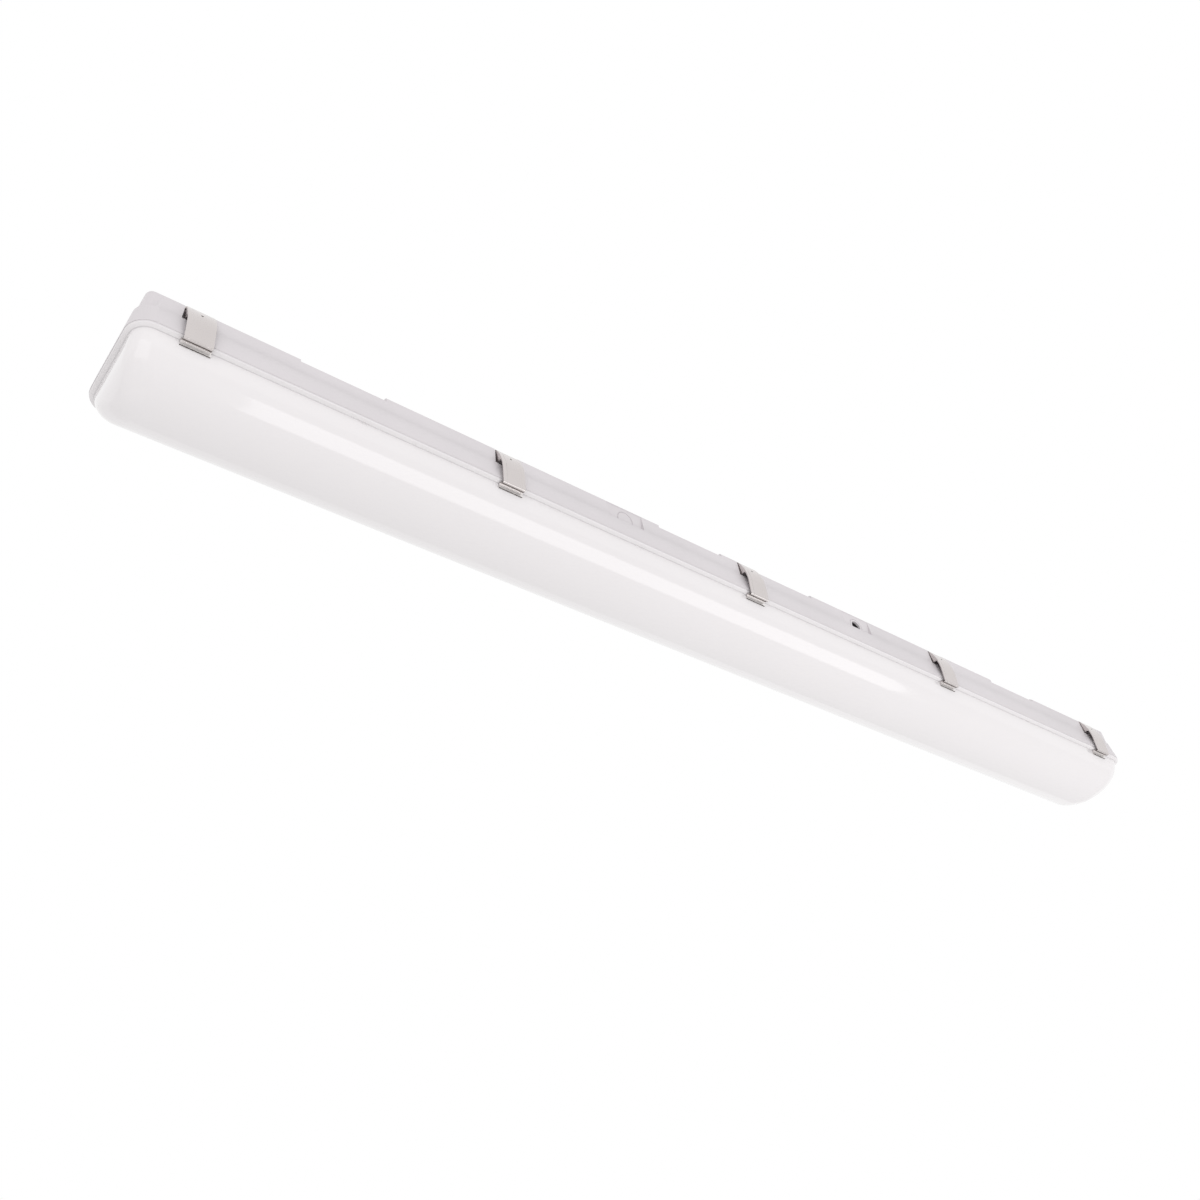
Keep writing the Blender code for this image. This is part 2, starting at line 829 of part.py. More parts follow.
def latch_mesh(material):
    """One latch, with its hinge axis along X through its own origin, for the -Y side."""
    hinge = Vector((0, -hinge_reach(), -hinge_depth))
    half = latch_width / 2

    def local(section, x_low, x_high):
        shape = bmesh.new()
        add_prism(shape, [(point.x, at_height(point.y)) for point in section], x_low, x_high, -1)
        bmesh.ops.translate(shape, vec=-hinge, verts=shape.verts[:])
        return shape

    latch = bpy.data.objects.new("latch_shape", finish_mesh("latch_shape", latch_sheet_shape()))
    bpy.context.scene.collection.objects.link(latch)
    helpers = [latch]
    for side in (-1, 1):
        edges = sorted((side * half, side * (half - latch_sheet)))
        ear = add_cutter(f"latch_ear_{side}", local(latch_ear(), *edges))
        combine(latch, ear, "UNION")
        helpers.append(ear)
    shape = bmesh.new()
    pin_half = half + slot_side_gap + pin_engagement
    barrel_half = half - latch_sheet / 2
    rows = [(pin_radius, -pin_half), (pin_radius, -barrel_half), (knuckle_radius, -barrel_half)]
    rows += [(radius, -x) for radius, x in reversed(rows)]
    add_rings(shape, [circle_outline(radius, x, "X", bore_steps) for radius, x in rows])
    barrel = add_cutter("latch_barrel", shape)
    combine(latch, barrel, "UNION")
    helpers.append(barrel)
    shape = bmesh.new()
    centre = Vector((0, 0, at_height(dimple_height))) - hinge
    rise = dimple_height - latch_bow_height
    outer_radius = latch_bow_radius + latch_sheet / 2
    face = latch_face_reach() - latch_bow_radius + math.sqrt(outer_radius**2 - rise**2)
    centre.y = -face - (dimple_radius - dimple_depth) - hinge.y
    place = Matrix.Translation(centre)
    steps = {"u_segments": bore_steps, "v_segments": dimple_levels}
    bmesh.ops.create_uvsphere(shape, radius=dimple_radius, matrix=place, **steps)
    dimple = add_cutter("latch_dimple", shape)
    combine(latch, dimple, "DIFFERENCE")
    helpers.append(dimple)
    bpy.context.view_layer.update()
    graph = bpy.context.evaluated_depsgraph_get()
    mesh = bpy.data.meshes.new_from_object(latch.evaluated_get(graph))
    mesh.name = "latch"
    mesh.materials.clear()
    mesh.materials.append(material)
    mesh.shade_smooth()
    mesh.set_sharp_from_angle(angle=math.radians(32))
    for helper in helpers:
        bpy.data.objects.remove(helper)
    return mesh


def make_latches(material):
    mesh = latch_mesh(material)
    for name, side, turn in (("front", -1, 0), ("rear", 1, math.pi)):
        for number, x in enumerate(latch_places(), start=1):
            latch = add_object(f"latch_{name}_{number}", mesh, material)
            latch.location = (x, side * hinge_reach(), -hinge_depth)
            latch.rotation_euler = (0, 0, turn)


# Gear tray


def board_screw_places():
    places = []
    for y in symmetric(board_row_spacing):
        for side in (-1, 1):
            for inset in (board_screw_inset, board_length - board_screw_inset):
                places.append((side * (board_end_gap / 2 + inset), y))
    return places


def driver_screw_places():
    half = driver_case_length / 2 + driver_tab_length / 2
    return ((driver_x - half, 0), (driver_x + half, 0))


def terminal_screw_places():
    half = terminal_length / 2 + terminal_foot_length / 2
    return ((terminal_x - half, terminal_y), (terminal_x + half, terminal_y))


def make_gear_tray(material):
    half = (tray_width - tray_sheet) / 2
    line = rounded_path(
        [
            Vector((-half, tray_height + tray_flange_height)),
            Vector((-half, tray_height + tray_sheet / 2)),
            Vector((half, tray_height + tray_sheet / 2)),
            Vector((half, tray_height + tray_flange_height)),
        ],
        tray_bend_radius,
        latch_bend_steps,
    )
    section = sheet_outline(line, tray_sheet)
    shape = bmesh.new()
    outline = [(point.x, at_height(point.y)) for point in section]
    add_prism(shape, outline, -tray_length / 2, tray_length / 2)
    tray = add_object("gear_tray", finish_mesh("gear_tray", shape), material)
    holes = bmesh.new()
    small = board_screw_radius + pin_clearance
    rows = [(x, 0, tray_screw_radius + pin_clearance) for x in tray_screw_places()]
    small_places = [*board_screw_places(), *driver_screw_places(), *terminal_screw_places()]
    rows += [(x, y, small) for x, y in small_places]
    rows += [(ground_screw_x, ground_screw_y, small), (lead_hole_x(), 0, lead_hole_radius)]
    for x, y, radius in rows:
        start = (x, y, at_height(tray_height) - hole_overrun)
        add_cylinder(holes, radius, start, 2 * hole_overrun, "Z", bore_steps)
    combine(tray, add_cutter("tray_holes", holes), "DIFFERENCE")


def screw_mesh(name, radius, length, material):
    """A pan head screw that points up from its head's seat, which is its origin."""
    head = radius * screw_head_share
    height = radius * screw_head_height_share
    rows = [
        (head * screw_crown_share, -height),
        (head, -height * screw_rim_share),
        (head, 0),
        (radius, 0),
        (radius, length - radius),
        (radius * screw_tip_share, length),
    ]
    shape = bmesh.new()
    add_rings(shape, [circle_outline(ring_radius, z, "Z", bore_steps) for ring_radius, z in rows])
    mesh = finish_mesh(name, shape)
    mesh.materials.append(material)
    return mesh


def make_screws(material):
    tray_screw = screw_mesh("tray_screw", tray_screw_radius, tray_screw_length, material)
    small_screw = screw_mesh("small_screw", board_screw_radius, board_screw_length, material)
    under_tray = at_height(tray_height) - seat_gap
    for number, x in enumerate(sorted(tray_screw_places()), start=1):
        add_object(f"tray_screw_{number}", tray_screw, material).location = (x, 0, under_tray)
    under_board = at_height(tray_height) - 2 * seat_gap - board_thickness
    for number, (x, y) in enumerate(board_screw_places(), start=1):
        add_object(f"board_screw_{number}", small_screw, material).location = (x, y, under_board)
    above_tray = at_height(tray_height + tray_sheet)
    feet = [("driver", place, driver_sheet) for place in driver_screw_places()]
    feet += [("terminal", place, terminal_foot_height) for place in terminal_screw_places()]
    feet.append(("ground", (ground_screw_x, ground_screw_y), 0))
    for number, (kind, (x, y), thickness) in enumerate(feet):
        screw = add_object(f"{kind}_screw_{number % 2 + 1}", small_screw, material)
        screw.location = (x, y, above_tray + thickness + (2 if thickness else 1) * seat_gap)
        screw.rotation_euler = (math.pi, 0, 0)


# LED boards


def board_mesh(material):
    """A board with its inner end at the origin, running along +X, its LEDs facing down."""
    shape = bmesh.new()
    add_box(shape, (0, -board_width / 2, -board_thickness), (board_length, board_width / 2, 0))
    board = bpy.data.objects.new("board_shape", finish_mesh("board_shape", shape))
    bpy.context.scene.collection.objects.link(board)
    parts = bmesh.new()
    sink = board_thickness / 2
    pitch = board_length / led_count
    for i in range(led_count):
        x = pitch / 2 + i * pitch
        low = (x - led_length / 2, -led_width / 2, -board_thickness - led_height)
        high = (x + led_length / 2, led_width / 2, -sink)
        add_box(parts, low, high)
    low = (connector_length / 2, -connector_width / 2, -board_thickness - connector_height)
    add_box(parts, low, (connector_length / 2 + connector_length, connector_width / 2, -sink))
    leds = add_cutter("board_parts", parts)
    combine(board, leds, "UNION")
    holes = bmesh.new()
    for x in (board_screw_inset, board_length - board_screw_inset):
        start = (x, 0, -board_thickness - hole_overrun)
        add_cylinder(holes, board_screw_radius + pin_clearance, start, 2 * hole_overrun, "Z", bore_steps)
    drill = add_cutter("board_holes", holes)
    combine(board, drill, "DIFFERENCE")
    bpy.context.view_layer.update()
    graph = bpy.context.evaluated_depsgraph_get()
    mesh = bpy.data.meshes.new_from_object(board.evaluated_get(graph))
    mesh.name = "led_board"
    mesh.materials.clear()
    mesh.materials.append(material)
    for helper in (board, leds, drill):
        bpy.data.objects.remove(helper)
    return mesh


def make_led_boards(material):
    mesh = board_mesh(material)
    z = at_height(tray_height) - seat_gap
    number = 0
    for y in symmetric(board_row_spacing):
        for side in (-1, 1):
            number += 1
            board = add_object(f"led_board_{number}", mesh, material)
            board.location = (side * board_end_gap / 2, y, z)
            board.rotation_euler = (0, 0, 0 if side > 0 else math.pi)


# Driver


def make_driver(case_material, base_material):
    floor = at_height(tray_height + tray_sheet) + seat_gap
    half = driver_case_length / 2
    shape = bmesh.new()
    low = (driver_x - half - driver_tab_length, -driver_width / 2, floor)
    high = (driver_x + half + driver_tab_length, driver_width / 2, floor + driver_sheet)
    add_box(shape, low, high)
    base = add_object("driver_base", finish_mesh("driver_base", shape), base_material)
    holes = bmesh.new()
    for x, y in driver_screw_places():
        start = (x, y, floor - hole_overrun)
        add_cylinder(holes, board_screw_radius + pin_clearance, start, 2 * hole_overrun, "Z", bore_steps)
    combine(base, add_cutter("driver_base_holes", holes), "DIFFERENCE")

    cover_floor = floor + driver_sheet + seat_gap
    cover_top = floor + driver_height

    def cover_ring(inset, z):
        corner = max(driver_corner_radius - inset, driver_inner_radius)
        return moved(rounded_outline(half - inset, driver_width / 2 - inset, corner, z), (driver_x, 0, 0))

    shape = bmesh.new()
    rings = [
        cover_ring(driver_sheet, cover_top - driver_sheet),
        cover_ring(driver_sheet, cover_floor),
        cover_ring(0, cover_floor),
        cover_ring(0, cover_top - driver_top_chamfer),
        cover_ring(driver_top_chamfer, cover_top),
    ]
    add_rings(shape, rings)
    cover = add_object("driver_cover", finish_mesh("driver_cover", shape), case_material)
    holes = bmesh.new()
    for y in symmetric(driver_lead_spacing):
        start = (driver_x + half - driver_lead_hole_reach, y, floor + driver_lead_height)
        add_cylinder(holes, driver_lead_hole_radius, start, 2 * driver_lead_hole_reach, "X", lead_hole_steps)
    combine(cover, add_cutter("driver_cover_holes", holes), "DIFFERENCE")


# Terminal block


def terminal_port_xs():
    pitch = terminal_length / terminal_ways
    return [terminal_x + (i - (terminal_ways - 1) / 2) * pitch for i in range(terminal_ways)]


def make_terminal_block(material):
    """The ports look along Y: supply side out, driver side in."""
    floor = at_height(tray_height + tray_sheet) + seat_gap
    half_width = terminal_width / 2
    step_reach = half_width * terminal_step_share
    section = [
        (-half_width, 0),
        (half_width, 0),
        (half_width, terminal_step_height),
        (step_reach, terminal_step_height),
        (step_reach, terminal_height),
        (-step_reach, terminal_height),
        (-step_reach, terminal_step_height),
        (-half_width, terminal_step_height),
    ]
    shape = bmesh.new()
    outline = [(terminal_y + reach, floor + height) for reach, height in section]
    add_prism(shape, outline, terminal_x - terminal_length / 2, terminal_x + terminal_length / 2)
    block = add_object("terminal_block", finish_mesh("terminal_block", shape), material)
    feet = bmesh.new()
    foot_half = terminal_length / 2 + terminal_foot_length
    low = (terminal_x - foot_half, terminal_y - half_width / 2, floor)
    high = (terminal_x + foot_half, terminal_y + half_width / 2, floor + terminal_foot_height)
    add_box(feet, low, high)
    combine(block, add_cutter("terminal_feet", feet), "UNION")
    holes = bmesh.new()
    for x in terminal_port_xs():
        for side in (-1, 1):
            edge = terminal_y + side * half_width
            start = edge - terminal_port_depth if side > 0 else edge - cut_overrun
            start = (x, start, floor + terminal_port_height)
            depth = terminal_port_depth + cut_overrun
            add_cylinder(holes, terminal_port_radius, start, depth, "Y", bore_steps)
    for x, y in terminal_screw_places():
        start = (x, y, floor - hole_overrun)
        add_cylinder(holes, board_screw_radius + pin_clearance, start, cut_overrun, "Z", bore_steps)
    combine(block, add_cutter("terminal_holes", holes), "DIFFERENCE")


# Leads


def rounded_route(corners, radius, steps):
    """A route through corners in space, each inner one replaced by an arc."""
    route = [corners[0]]
    for before, corner, after in zip(corners[:-2], corners[1:-1], corners[2:]):
        back = (before - corner).normalized()
        forth = (after - corner).normalized()
        half_angle = back.angle(forth) / 2
        shortest = min((before - corner).length, (after - corner).length)
        run = min(radius / math.tan(half_angle), shortest / 2)
        for step in range(steps + 1):
            share = step / steps
            route.append(corner + back * run * (1 - share) ** 2 + forth * run * share**2)
    route.append(corners[-1])
    return route


def make_lead(name, corners, material):
    """A round lead along straight runs with rounded corners."""
    route = rounded_route([Vector(corner) for corner in corners], lead_turn_radius, lead_turn_steps)
    curve = bpy.data.curves.new(name, "CURVE")
    curve.dimensions = "3D"
    curve.bevel_depth = lead_radius
    curve.bevel_resolution = 1
    curve.use_fill_caps = True
    spline = curve.splines.new("POLY")
    spline.points.add(len(route) - 1)
    for spot, point in zip(spline.points, route):
        spot.co = (*point, 1.0)
    curve.materials.append(material)
    lead = bpy.data.objects.new(name, curve)
    bpy.context.scene.collection.objects.link(lead)


def lead_lane(rank):
    """Distance of a lead's straight run from the middle, past the tray bosses."""
    return boss_radius + boss_draft + 2 * lead_radius + rank * lead_pitch


def make_supply_leads(live, neutral):
    """From the terminal block's inner ports to the driver's near lead hole."""
    floor = at_height(tray_height + tray_sheet) + seat_gap
    ports = terminal_port_xs()
    z = floor + terminal_port_height
    port_y = terminal_y + terminal_width / 2 - terminal_port_depth + seat_gap
    driver_end = driver_x + driver_case_length / 2
    boss_end = -tray_inner_screw_spacing / 2
    for name, port, rank, material in (
        ("supply_lead_live", ports[0], 1, live),
        ("supply_lead_neutral", ports[1], 0, neutral),
    ):
        lane = -lead_lane(rank)
        end_y = -driver_lead_spacing / 2 + lead_entry_pitch / 2 - rank * lead_entry_pitch
        end_z = floor + driver_lead_height
        corners = [
            (port, port_y, z),
            (port, lane, z),
            (boss_end - lead_straight, lane, z),
            (driver_end + lead_straight, end_y, end_z),
            (driver_end - driver_lead_tuck, end_y, end_z),
        ]
        make_lead(name, corners, material)


def make_ground_lead(material):
    """From the terminal block's third port to the ground screw on the tray."""
    floor = at_height(tray_height + tray_sheet) + seat_gap
    z = floor + terminal_port_height
    x = terminal_port_xs()[-1]
    port_y = terminal_y + terminal_width / 2 - terminal_port_depth + seat_gap
    end_x = ground_screw_x + board_screw_radius * screw_head_share + seat_gap
    low = floor + lead_radius
    corners = [
        (x, port_y, z),
        (x, ground_screw_y, z),
        (end_x + lead_straight, ground_screw_y, low),
        (end_x, ground_screw_y, low),
    ]
    make_lead("ground_lead", corners, material)


def lead_hole_x():
    return -(board_end_gap / 2 + connector_length)


def make_output_leads(positive, negative):
    """From the driver, down through the tray's hole, to the inner connectors of the two near boards."""
    floor = at_height(tray_height + tray_sheet) + seat_gap
    driver_end = driver_x + driver_case_length / 2
    boss_start = -tray_inner_screw_spacing / 2 - lead_straight
    boss_end = -tray_inner_screw_spacing / 2 + lead_straight
    connector_z = at_height(tray_height) - seat_gap - board_thickness - connector_height / 2
    connector_y = board_row_spacing / 2 - connector_width / 2 - seat_gap
    z = floor + driver_lead_height
    runs = (("output_lead_front", -1, positive), ("output_lead_rear", 1, negative))
    for name, side, material in runs:
        rank = (1 + side) / 2
        lane = lead_lane(rank)
        start_y = driver_lead_spacing / 2 - lead_entry_pitch / 2 + rank * lead_entry_pitch
        hole_y = side * lead_pitch / 2
        corners = [
            (driver_end - driver_lead_tuck, start_y, z),
            (driver_end + lead_straight, start_y, z),
            (boss_start, lane, z),
            (boss_end, lane, z),
            (lead_hole_x(), hole_y, z),
            (lead_hole_x(), hole_y, connector_z),
            (lead_hole_x(), side * connector_y, connector_z),
        ]
        make_lead(name, corners, material)


def make_board_jumpers(material):
    """Short leads between the facing connectors of the two boards in a row."""
    half = board_end_gap / 2 + connector_length / 2 - seat_gap
    z = at_height(tray_height) - seat_gap - board_thickness - connector_height / 2
    for name, y in zip(("board_jumper_front", "board_jumper_rear"), symmetric(board_row_spacing)):
        make_lead(name, [(-half, y, z), (half, y, z)], material)


def main():
    clear_scene()
    grey_plastic = make_material("grey housing plastic", (0.66, 0.65, 0.67), 0.45)
    frosted = make_material("frosted lens plastic", (0.86, 0.86, 0.85), 0.4)
    rubber = make_material("grey foam rubber", (0.35, 0.35, 0.36), 0.9)
    stainless = make_material("stainless steel", (0.62, 0.59, 0.57), 0.28, 1.0)
    white_steel = make_material("white painted steel", (0.85, 0.85, 0.84), 0.4)
    zinc = make_material("zinc plated steel", (0.60, 0.61, 0.62), 0.35, 1.0)
    board_white = make_material("white board", (0.88, 0.88, 0.85), 0.5)
    case_metal = make_material("driver case", (0.78, 0.78, 0.76), 0.4)
    terminal_white = make_material("terminal plastic", (0.85, 0.83, 0.78), 0.5)
    black_wire = make_material("black wire", (0.03, 0.03, 0.03), 0.5)
    white_wire = make_material("white wire", (0.85, 0.85, 0.85), 0.5)
    green_wire = make_material("green wire", (0.05, 0.32, 0.09), 0.5)
    red_wire = make_material("red wire", (0.55, 0.04, 0.03), 0.5)
    blue_wire = make_material("blue wire", (0.05, 0.10, 0.45), 0.5)
    make_housing(grey_plastic)
    make_gasket(rubber)
    make_lens(frosted)
    make_latches(stainless)
    make_gear_tray(white_steel)
    make_screws(zinc)
    make_led_boards(board_white)
    make_driver(case_metal, zinc)
    make_terminal_block(terminal_white)
    make_supply_leads(black_wire, white_wire)
    make_ground_lead(green_wire)
    make_output_leads(red_wire, blue_wire)
    make_board_jumpers(red_wire)


main()
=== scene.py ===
"""Looks of the vapor tight light fixture: fine mouldings, bent clip latches, materials, studio and camera.

Metres, +Z up. The fixture lies along X below the origin, which is the middle of its back. Heights are
measured up from the joint plane between housing and lens, and turned into Z by the function at_height.
"""

import math

import bmesh
import bpy
from mathutils import Matrix, Vector


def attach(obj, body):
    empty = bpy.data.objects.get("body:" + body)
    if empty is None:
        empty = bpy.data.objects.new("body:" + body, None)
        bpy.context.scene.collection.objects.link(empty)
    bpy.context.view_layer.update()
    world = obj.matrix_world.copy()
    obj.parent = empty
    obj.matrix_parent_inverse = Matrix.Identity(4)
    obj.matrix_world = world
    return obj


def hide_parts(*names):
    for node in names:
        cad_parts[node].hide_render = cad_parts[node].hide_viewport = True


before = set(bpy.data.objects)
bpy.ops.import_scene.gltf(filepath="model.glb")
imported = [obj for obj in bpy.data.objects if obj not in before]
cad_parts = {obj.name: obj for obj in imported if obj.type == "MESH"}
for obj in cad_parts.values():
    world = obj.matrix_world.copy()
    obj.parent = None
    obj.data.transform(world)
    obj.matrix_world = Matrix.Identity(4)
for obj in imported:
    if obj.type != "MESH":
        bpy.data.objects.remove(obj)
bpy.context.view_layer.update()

# Overall sizes
rim_length = 1.2716
rim_width = 0.1080
rim_corner_radius = 0.0190
housing_height = 0.0450
lens_depth = 0.0380
seat_gap = 0.0003
joint_gap = 0.00002
cut_overrun = 0.0100

# The least turn of a sharp edge, and the share of a normal with which a face looks along an axis
sharp_angle = math.radians(30)
facing_share = 0.7

# Housing section, from the lip up to the back
housing_wall = 0.0025
lip_height = 0.0012
crease_height = 0.0224
crease_rise = 0.0006
crease_ledge = 0.0004
flare_run = 0.0043
end_flare_share = 0.74
back_taper = 0.0024
back_edge_radius = 0.0040
back_edge_steps = 8
rim_band_width = 0.0076
rim_band_height = 0.0062
edge_softness = 0.0004
edge_segments = 2

# Upright nose at each end, above the crease, that the leaning sides turn in to
nose_step = 0.0003
nose_corner_radius = 0.0070
nose_end_inset = 0.0010
nose_length = 0.0132
nose_turn_radius = 0.0050
nose_hollow_radius = 0.0030
nose_corner_steps = 9
nose_turn_steps = 7

# Every ring has as many points at a corner as the nose has in its corner and its two turns
corner_steps = nose_corner_steps + 2 * nose_turn_steps + 2

# Raised pads on the back
recess_shift = -0.0110
inner_recess_length = 0.0825
outer_recess_length = 0.0800
inner_recess_share = 0.1102
outer_recess_share = 0.7660
recess_flat_width = 0.0880
inner_recess_depth = 0.0022
inner_recess_edge_drop = 0.0056
outer_recess_depth = 0.0026
outer_recess_edge_drop = 0.0064
end_pad_drop = 0.0010
end_pad_edge_drop = 0.0036

# Gasket's groove
gasket_width = 0.0034
groove_depth = 0.0032
groove_outer_wall = 0.0018

# Lens
lens_flange_inset = 0.0003
lens_flange_width = 0.0041
lens_flange_edge = 0.0018
lens_flange_draft = 0.0008
lens_flange_radius = 0.0005
lens_wall = 0.0022
lens_end_length = 0.0282
lens_end_roundness = 2.7
lens_corner_radius = 0.0204
lens_corner_growth_share = 0.5
lens_fillet = 0.0006
round_steps = 5
fillet_steps = 7
lens_corner_share = 0.98
lens_levels = 40
lens_last_angle = math.radians(88)

# Lugs under the lens's flange
lug_radius = 0.0122
lug_rise = 0.0100
lug_proud = 0.0006
lug_steps = 40

# Latches, five along each side
latch_end_inset = 0.0503
inner_latch_share = 0.5056
outer_latch_spacing = rim_length - 2 * latch_end_inset
inner_latch_spacing = outer_latch_spacing * inner_latch_share
outer_recess_spacing = outer_latch_spacing * outer_recess_share
inner_recess_spacing = outer_latch_spacing * inner_recess_share
latch_width = 0.0240
latch_sheet = 0.0010
latch_bow_radius = 0.0550
latch_bow_height = 0.0100
latch_standoff = 0.0025
latch_bow_steps = 16
latch_hook_inset = 0.0008
latch_foot_drop = 0.0063
latch_peak_drop = 0.0029
latch_peak_reach = 0.0026
latch_tip_reach = 0.0034
latch_tip_drop = 0.0080
latch_lip_overhang = 0.0003
latch_bend_radius = 0.0011
latch_bend_steps = 8
latch_edge_setback = 0.0003
latch_edge_softness = 0.00022

# Latch pivots: pin, the knuckle rolled round it, and the ears beside the plate
hinge_depth = 0.0038
hinge_inset = 0.0092
knuckle_radius = 0.0019
pin_radius = 0.0013
pin_engagement = 0.0015
pin_clearance = 0.0004
pin_steps = 24
ear_back = 0.0018
ear_foot_gap = 0.0014
ear_sweep_radius = 0.0022

# Dimple in the plate, and where the painted shade on the foot's fold starts and ends
dimple_radius = 0.0011
dimple_height = 0.0305
fold_top_drop = 0.0046
fold_foot_drop = 0.0058

# Latch slots, with their wider mouths
slot_side_gap = 0.0007
slot_mouth_gap = 0.0022
slot_mouth_drop = 0.0060
slot_floor_gap = 0.0004
slot_foot_gap = 0.0006

# Side pockets with a round wire entry
pocket_share = 0.2741
pocket_spacing = outer_latch_spacing * pocket_share
pocket_length = 0.0420
pocket_floor_inset = 0.0074
pocket_top_drop = 0.0036
entry_radius = 0.0062
entry_height = 0.0286
entry_ring_width = 0.0030
entry_ring_depth = 0.0005
entry_ring_groove = 0.0008
entry_steps = 64

# Tray bosses and screws
tray_height = 0.0050
tray_sheet = 0.0010
tray_screw_inset = 0.1158
tray_screw_spacing = rim_length - 2 * tray_screw_inset
tray_inner_screw_spacing = 0.1200
tray_screw_radius = 0.0019
tray_screw_length = 0.0130
boss_radius = 0.0055
boss_draft = 0.0010

# Finishes
noise_low = 0.3
noise_high = 0.7
noise_detail = 3.0
drift_scale = 9.0
gloss_scale = 60.0
gloss_spread = 0.03
fine_bump = 0.00001
fine_grain = 1200.0
plain_spread = 0.04
strong_spread = 0.1
housing_colour = (0.658, 0.624, 0.642)
housing_roughness = 0.42
housing_grain = 1500.0
housing_grain_height = 0.00002
lens_colour = (0.800, 0.772, 0.780)
# Painted shade: a darker copy of the lens's colour for the flange's upright edge, and a darker one still
# for the crease below the flange and the lugs
lens_edge_shade_colour = (0.680, 0.650, 0.664)
lens_crease_shade_colour = (0.640, 0.615, 0.625)
lens_spread = 0.01
lens_roughness = 0.12
lens_coat_roughness = 0.05
lens_ior = 1.5
lens_ripple_scale = 40.0
lens_ripple = 0.00001
latch_colour = (0.675, 0.632, 0.622)
latch_roughness = 0.22
latch_gloss_spread = 0.06
panel_edge = 0.0074
panel_step = 0.0006
panel_height = 0.00022
# Painted shade, near black, on the foot's fold, the dimple and the lip's cut edge
fold_shade_colour = (0.06, 0.045, 0.04)
fold_shade_roughness = 0.5
fold_shade_metal = 0.4
# Painted highlight: a lighter, less metallic copy of the latch's stainless for the lip's face
lip_highlight_colour = (0.86, 0.83, 0.82)
lip_highlight_roughness = 0.26
lip_highlight_metal = 0.45
latch_spread = 0.05
cloud_scale = 36.0
brush_scale = 2500.0
brush_detail = 2.0
brush_stretch = 0.03
brush_height = 0.000004
foam_colour = (0.10, 0.10, 0.105)
foam_roughness = 0.85
foam_grain = 1400.0
foam_pits = 0.00012
paint_colour = (0.82, 0.82, 0.81)
paint_roughness = 0.35
paint_grain = 420.0
paint_peel = 0.00003
zinc_colour = (0.62, 0.63, 0.64)
zinc_roughness = 0.32
case_colour = (0.74, 0.74, 0.72)
ivory_colour = (0.80, 0.76, 0.66)
moulded_roughness = 0.45
wire_roughness = 0.38
red_wire = (0.50, 0.02, 0.02)
wire_colours = {
    "supply_lead_live": (0.015, 0.015, 0.016),
    "supply_lead_neutral": (0.78, 0.78, 0.76),
    "ground_lead": (0.02, 0.22, 0.05),
    "output_lead_front": red_wire,
    "output_lead_rear": (0.02, 0.06, 0.42),
    "board_jumper_front": red_wire,
    "board_jumper_rear": red_wire,
}
board_colour = (0.84, 0.84, 0.80)
phosphor_colour = (0.90, 0.72, 0.10)
led_face_z = -0.0426
led_face_margin = 0.0001
floor_colour = (0.90, 0.90, 0.90)
floor_roughness = 0.9
floor_spread = 0.015
floor_drift_scale = 3.0

# Studio and camera
camera_place = (-0.7608, -0.6897, -0.8181)
camera_yaw = math.radians(49.05)
camera_pitch = math.radians(38.80)
camera_roll = math.radians(6.09)
camera_lens = 37.212
camera_film = 36.0
floor_drop = 1.7
floor_size = 14.0
ambient_light = 0.92

# Long soft box below and in front, whose reflection is the bright band along the bowl
strip_distance = 1.20
strip_angle = math.radians(53)
strip_middle = 0.56
strip_length = 1.70
strip_width = 0.72
strip_brightness = 1.06

# Soft boxes from above, two beside the near end, and one from below at the far end
top_place = (0.3, -0.7, 1.4)
top_length = 2.6
top_width = 1.3
top_brightness = 0.36
near_place = (-1.05, -0.50, -0.38)
near_target = (-0.60, -0.03, -0.05)
near_size = 0.60
near_brightness = 0.50
side_place = (-1.20, -0.90, 0.0)
side_size = 0.60
side_brightness = 0.95
under_place = (0.75, -0.10, -1.20)
under_target = (0.75, 0.0, -0.08)
under_length = 1.0
under_width = 0.5
under_brightness = 0.5


def at_height(height):
    """Z of a height above the joint plane."""
    return height - housing_height


def symmetric(spacing):
    return (-spacing / 2, spacing / 2)


# Mesh helpers


def finish_mesh(name, shape):
    bmesh.ops.recalc_face_normals(shape, faces=shape.faces[:])
    mesh = bpy.data.meshes.new(name)
    shape.to_mesh(mesh)
    shape.free()
    mesh.shade_smooth()
    mesh.set_sharp_from_angle(angle=sharp_angle)
    return mesh


def add_object(name, mesh):
    obj = bpy.data.objects.new(name, mesh)
    bpy.context.scene.collection.objects.link(obj)
    return obj


def add_rings(shape, rings):
    """A closed solid through rings of equally many points, with a flat cap at each end."""
    rows = [[shape.verts.new(point) for point in ring] for ring in rings]
    count = len(rows[0])
    for lower, upper in zip(rows[:-1], rows[1:]):
        for i in range(count):
            j = (i + 1) % count
            shape.faces.new((lower[i], lower[j], upper[j], upper[i]))
    shape.faces.new(rows[0])
    shape.faces.new(rows[-1])


def add_hoop(shape, rings):
    """A closed ring-shaped solid through a loop of rings."""
    rows = [[shape.verts.new(point) for point in ring] for ring in rings]
    for lower, upper in zip(rows, rows[1:] + rows[:1]):
        for i in range(len(lower)):
            j = (i + 1) % len(lower)
            shape.faces.new((lower[i], lower[j], upper[j], upper[i]))


def rounded_outline(half_length, half_width, radius, z):
    """A rectangle with round corners, as points in the plane at z."""
    points = []
    for quarter in range(4):
        sign_x = 1 if quarter in (0, 3) else -1
        sign_y = 1 if quarter in (0, 1) else -1
        centre = Vector((sign_x * (half_length - radius), sign_y * (half_width - radius), z))
        for step in range(corner_steps + 1):
            angle = (quarter + step / corner_steps) * math.pi / 2
            points.append(centre + Vector((math.cos(angle), math.sin(angle), 0)) * radius)
    return points


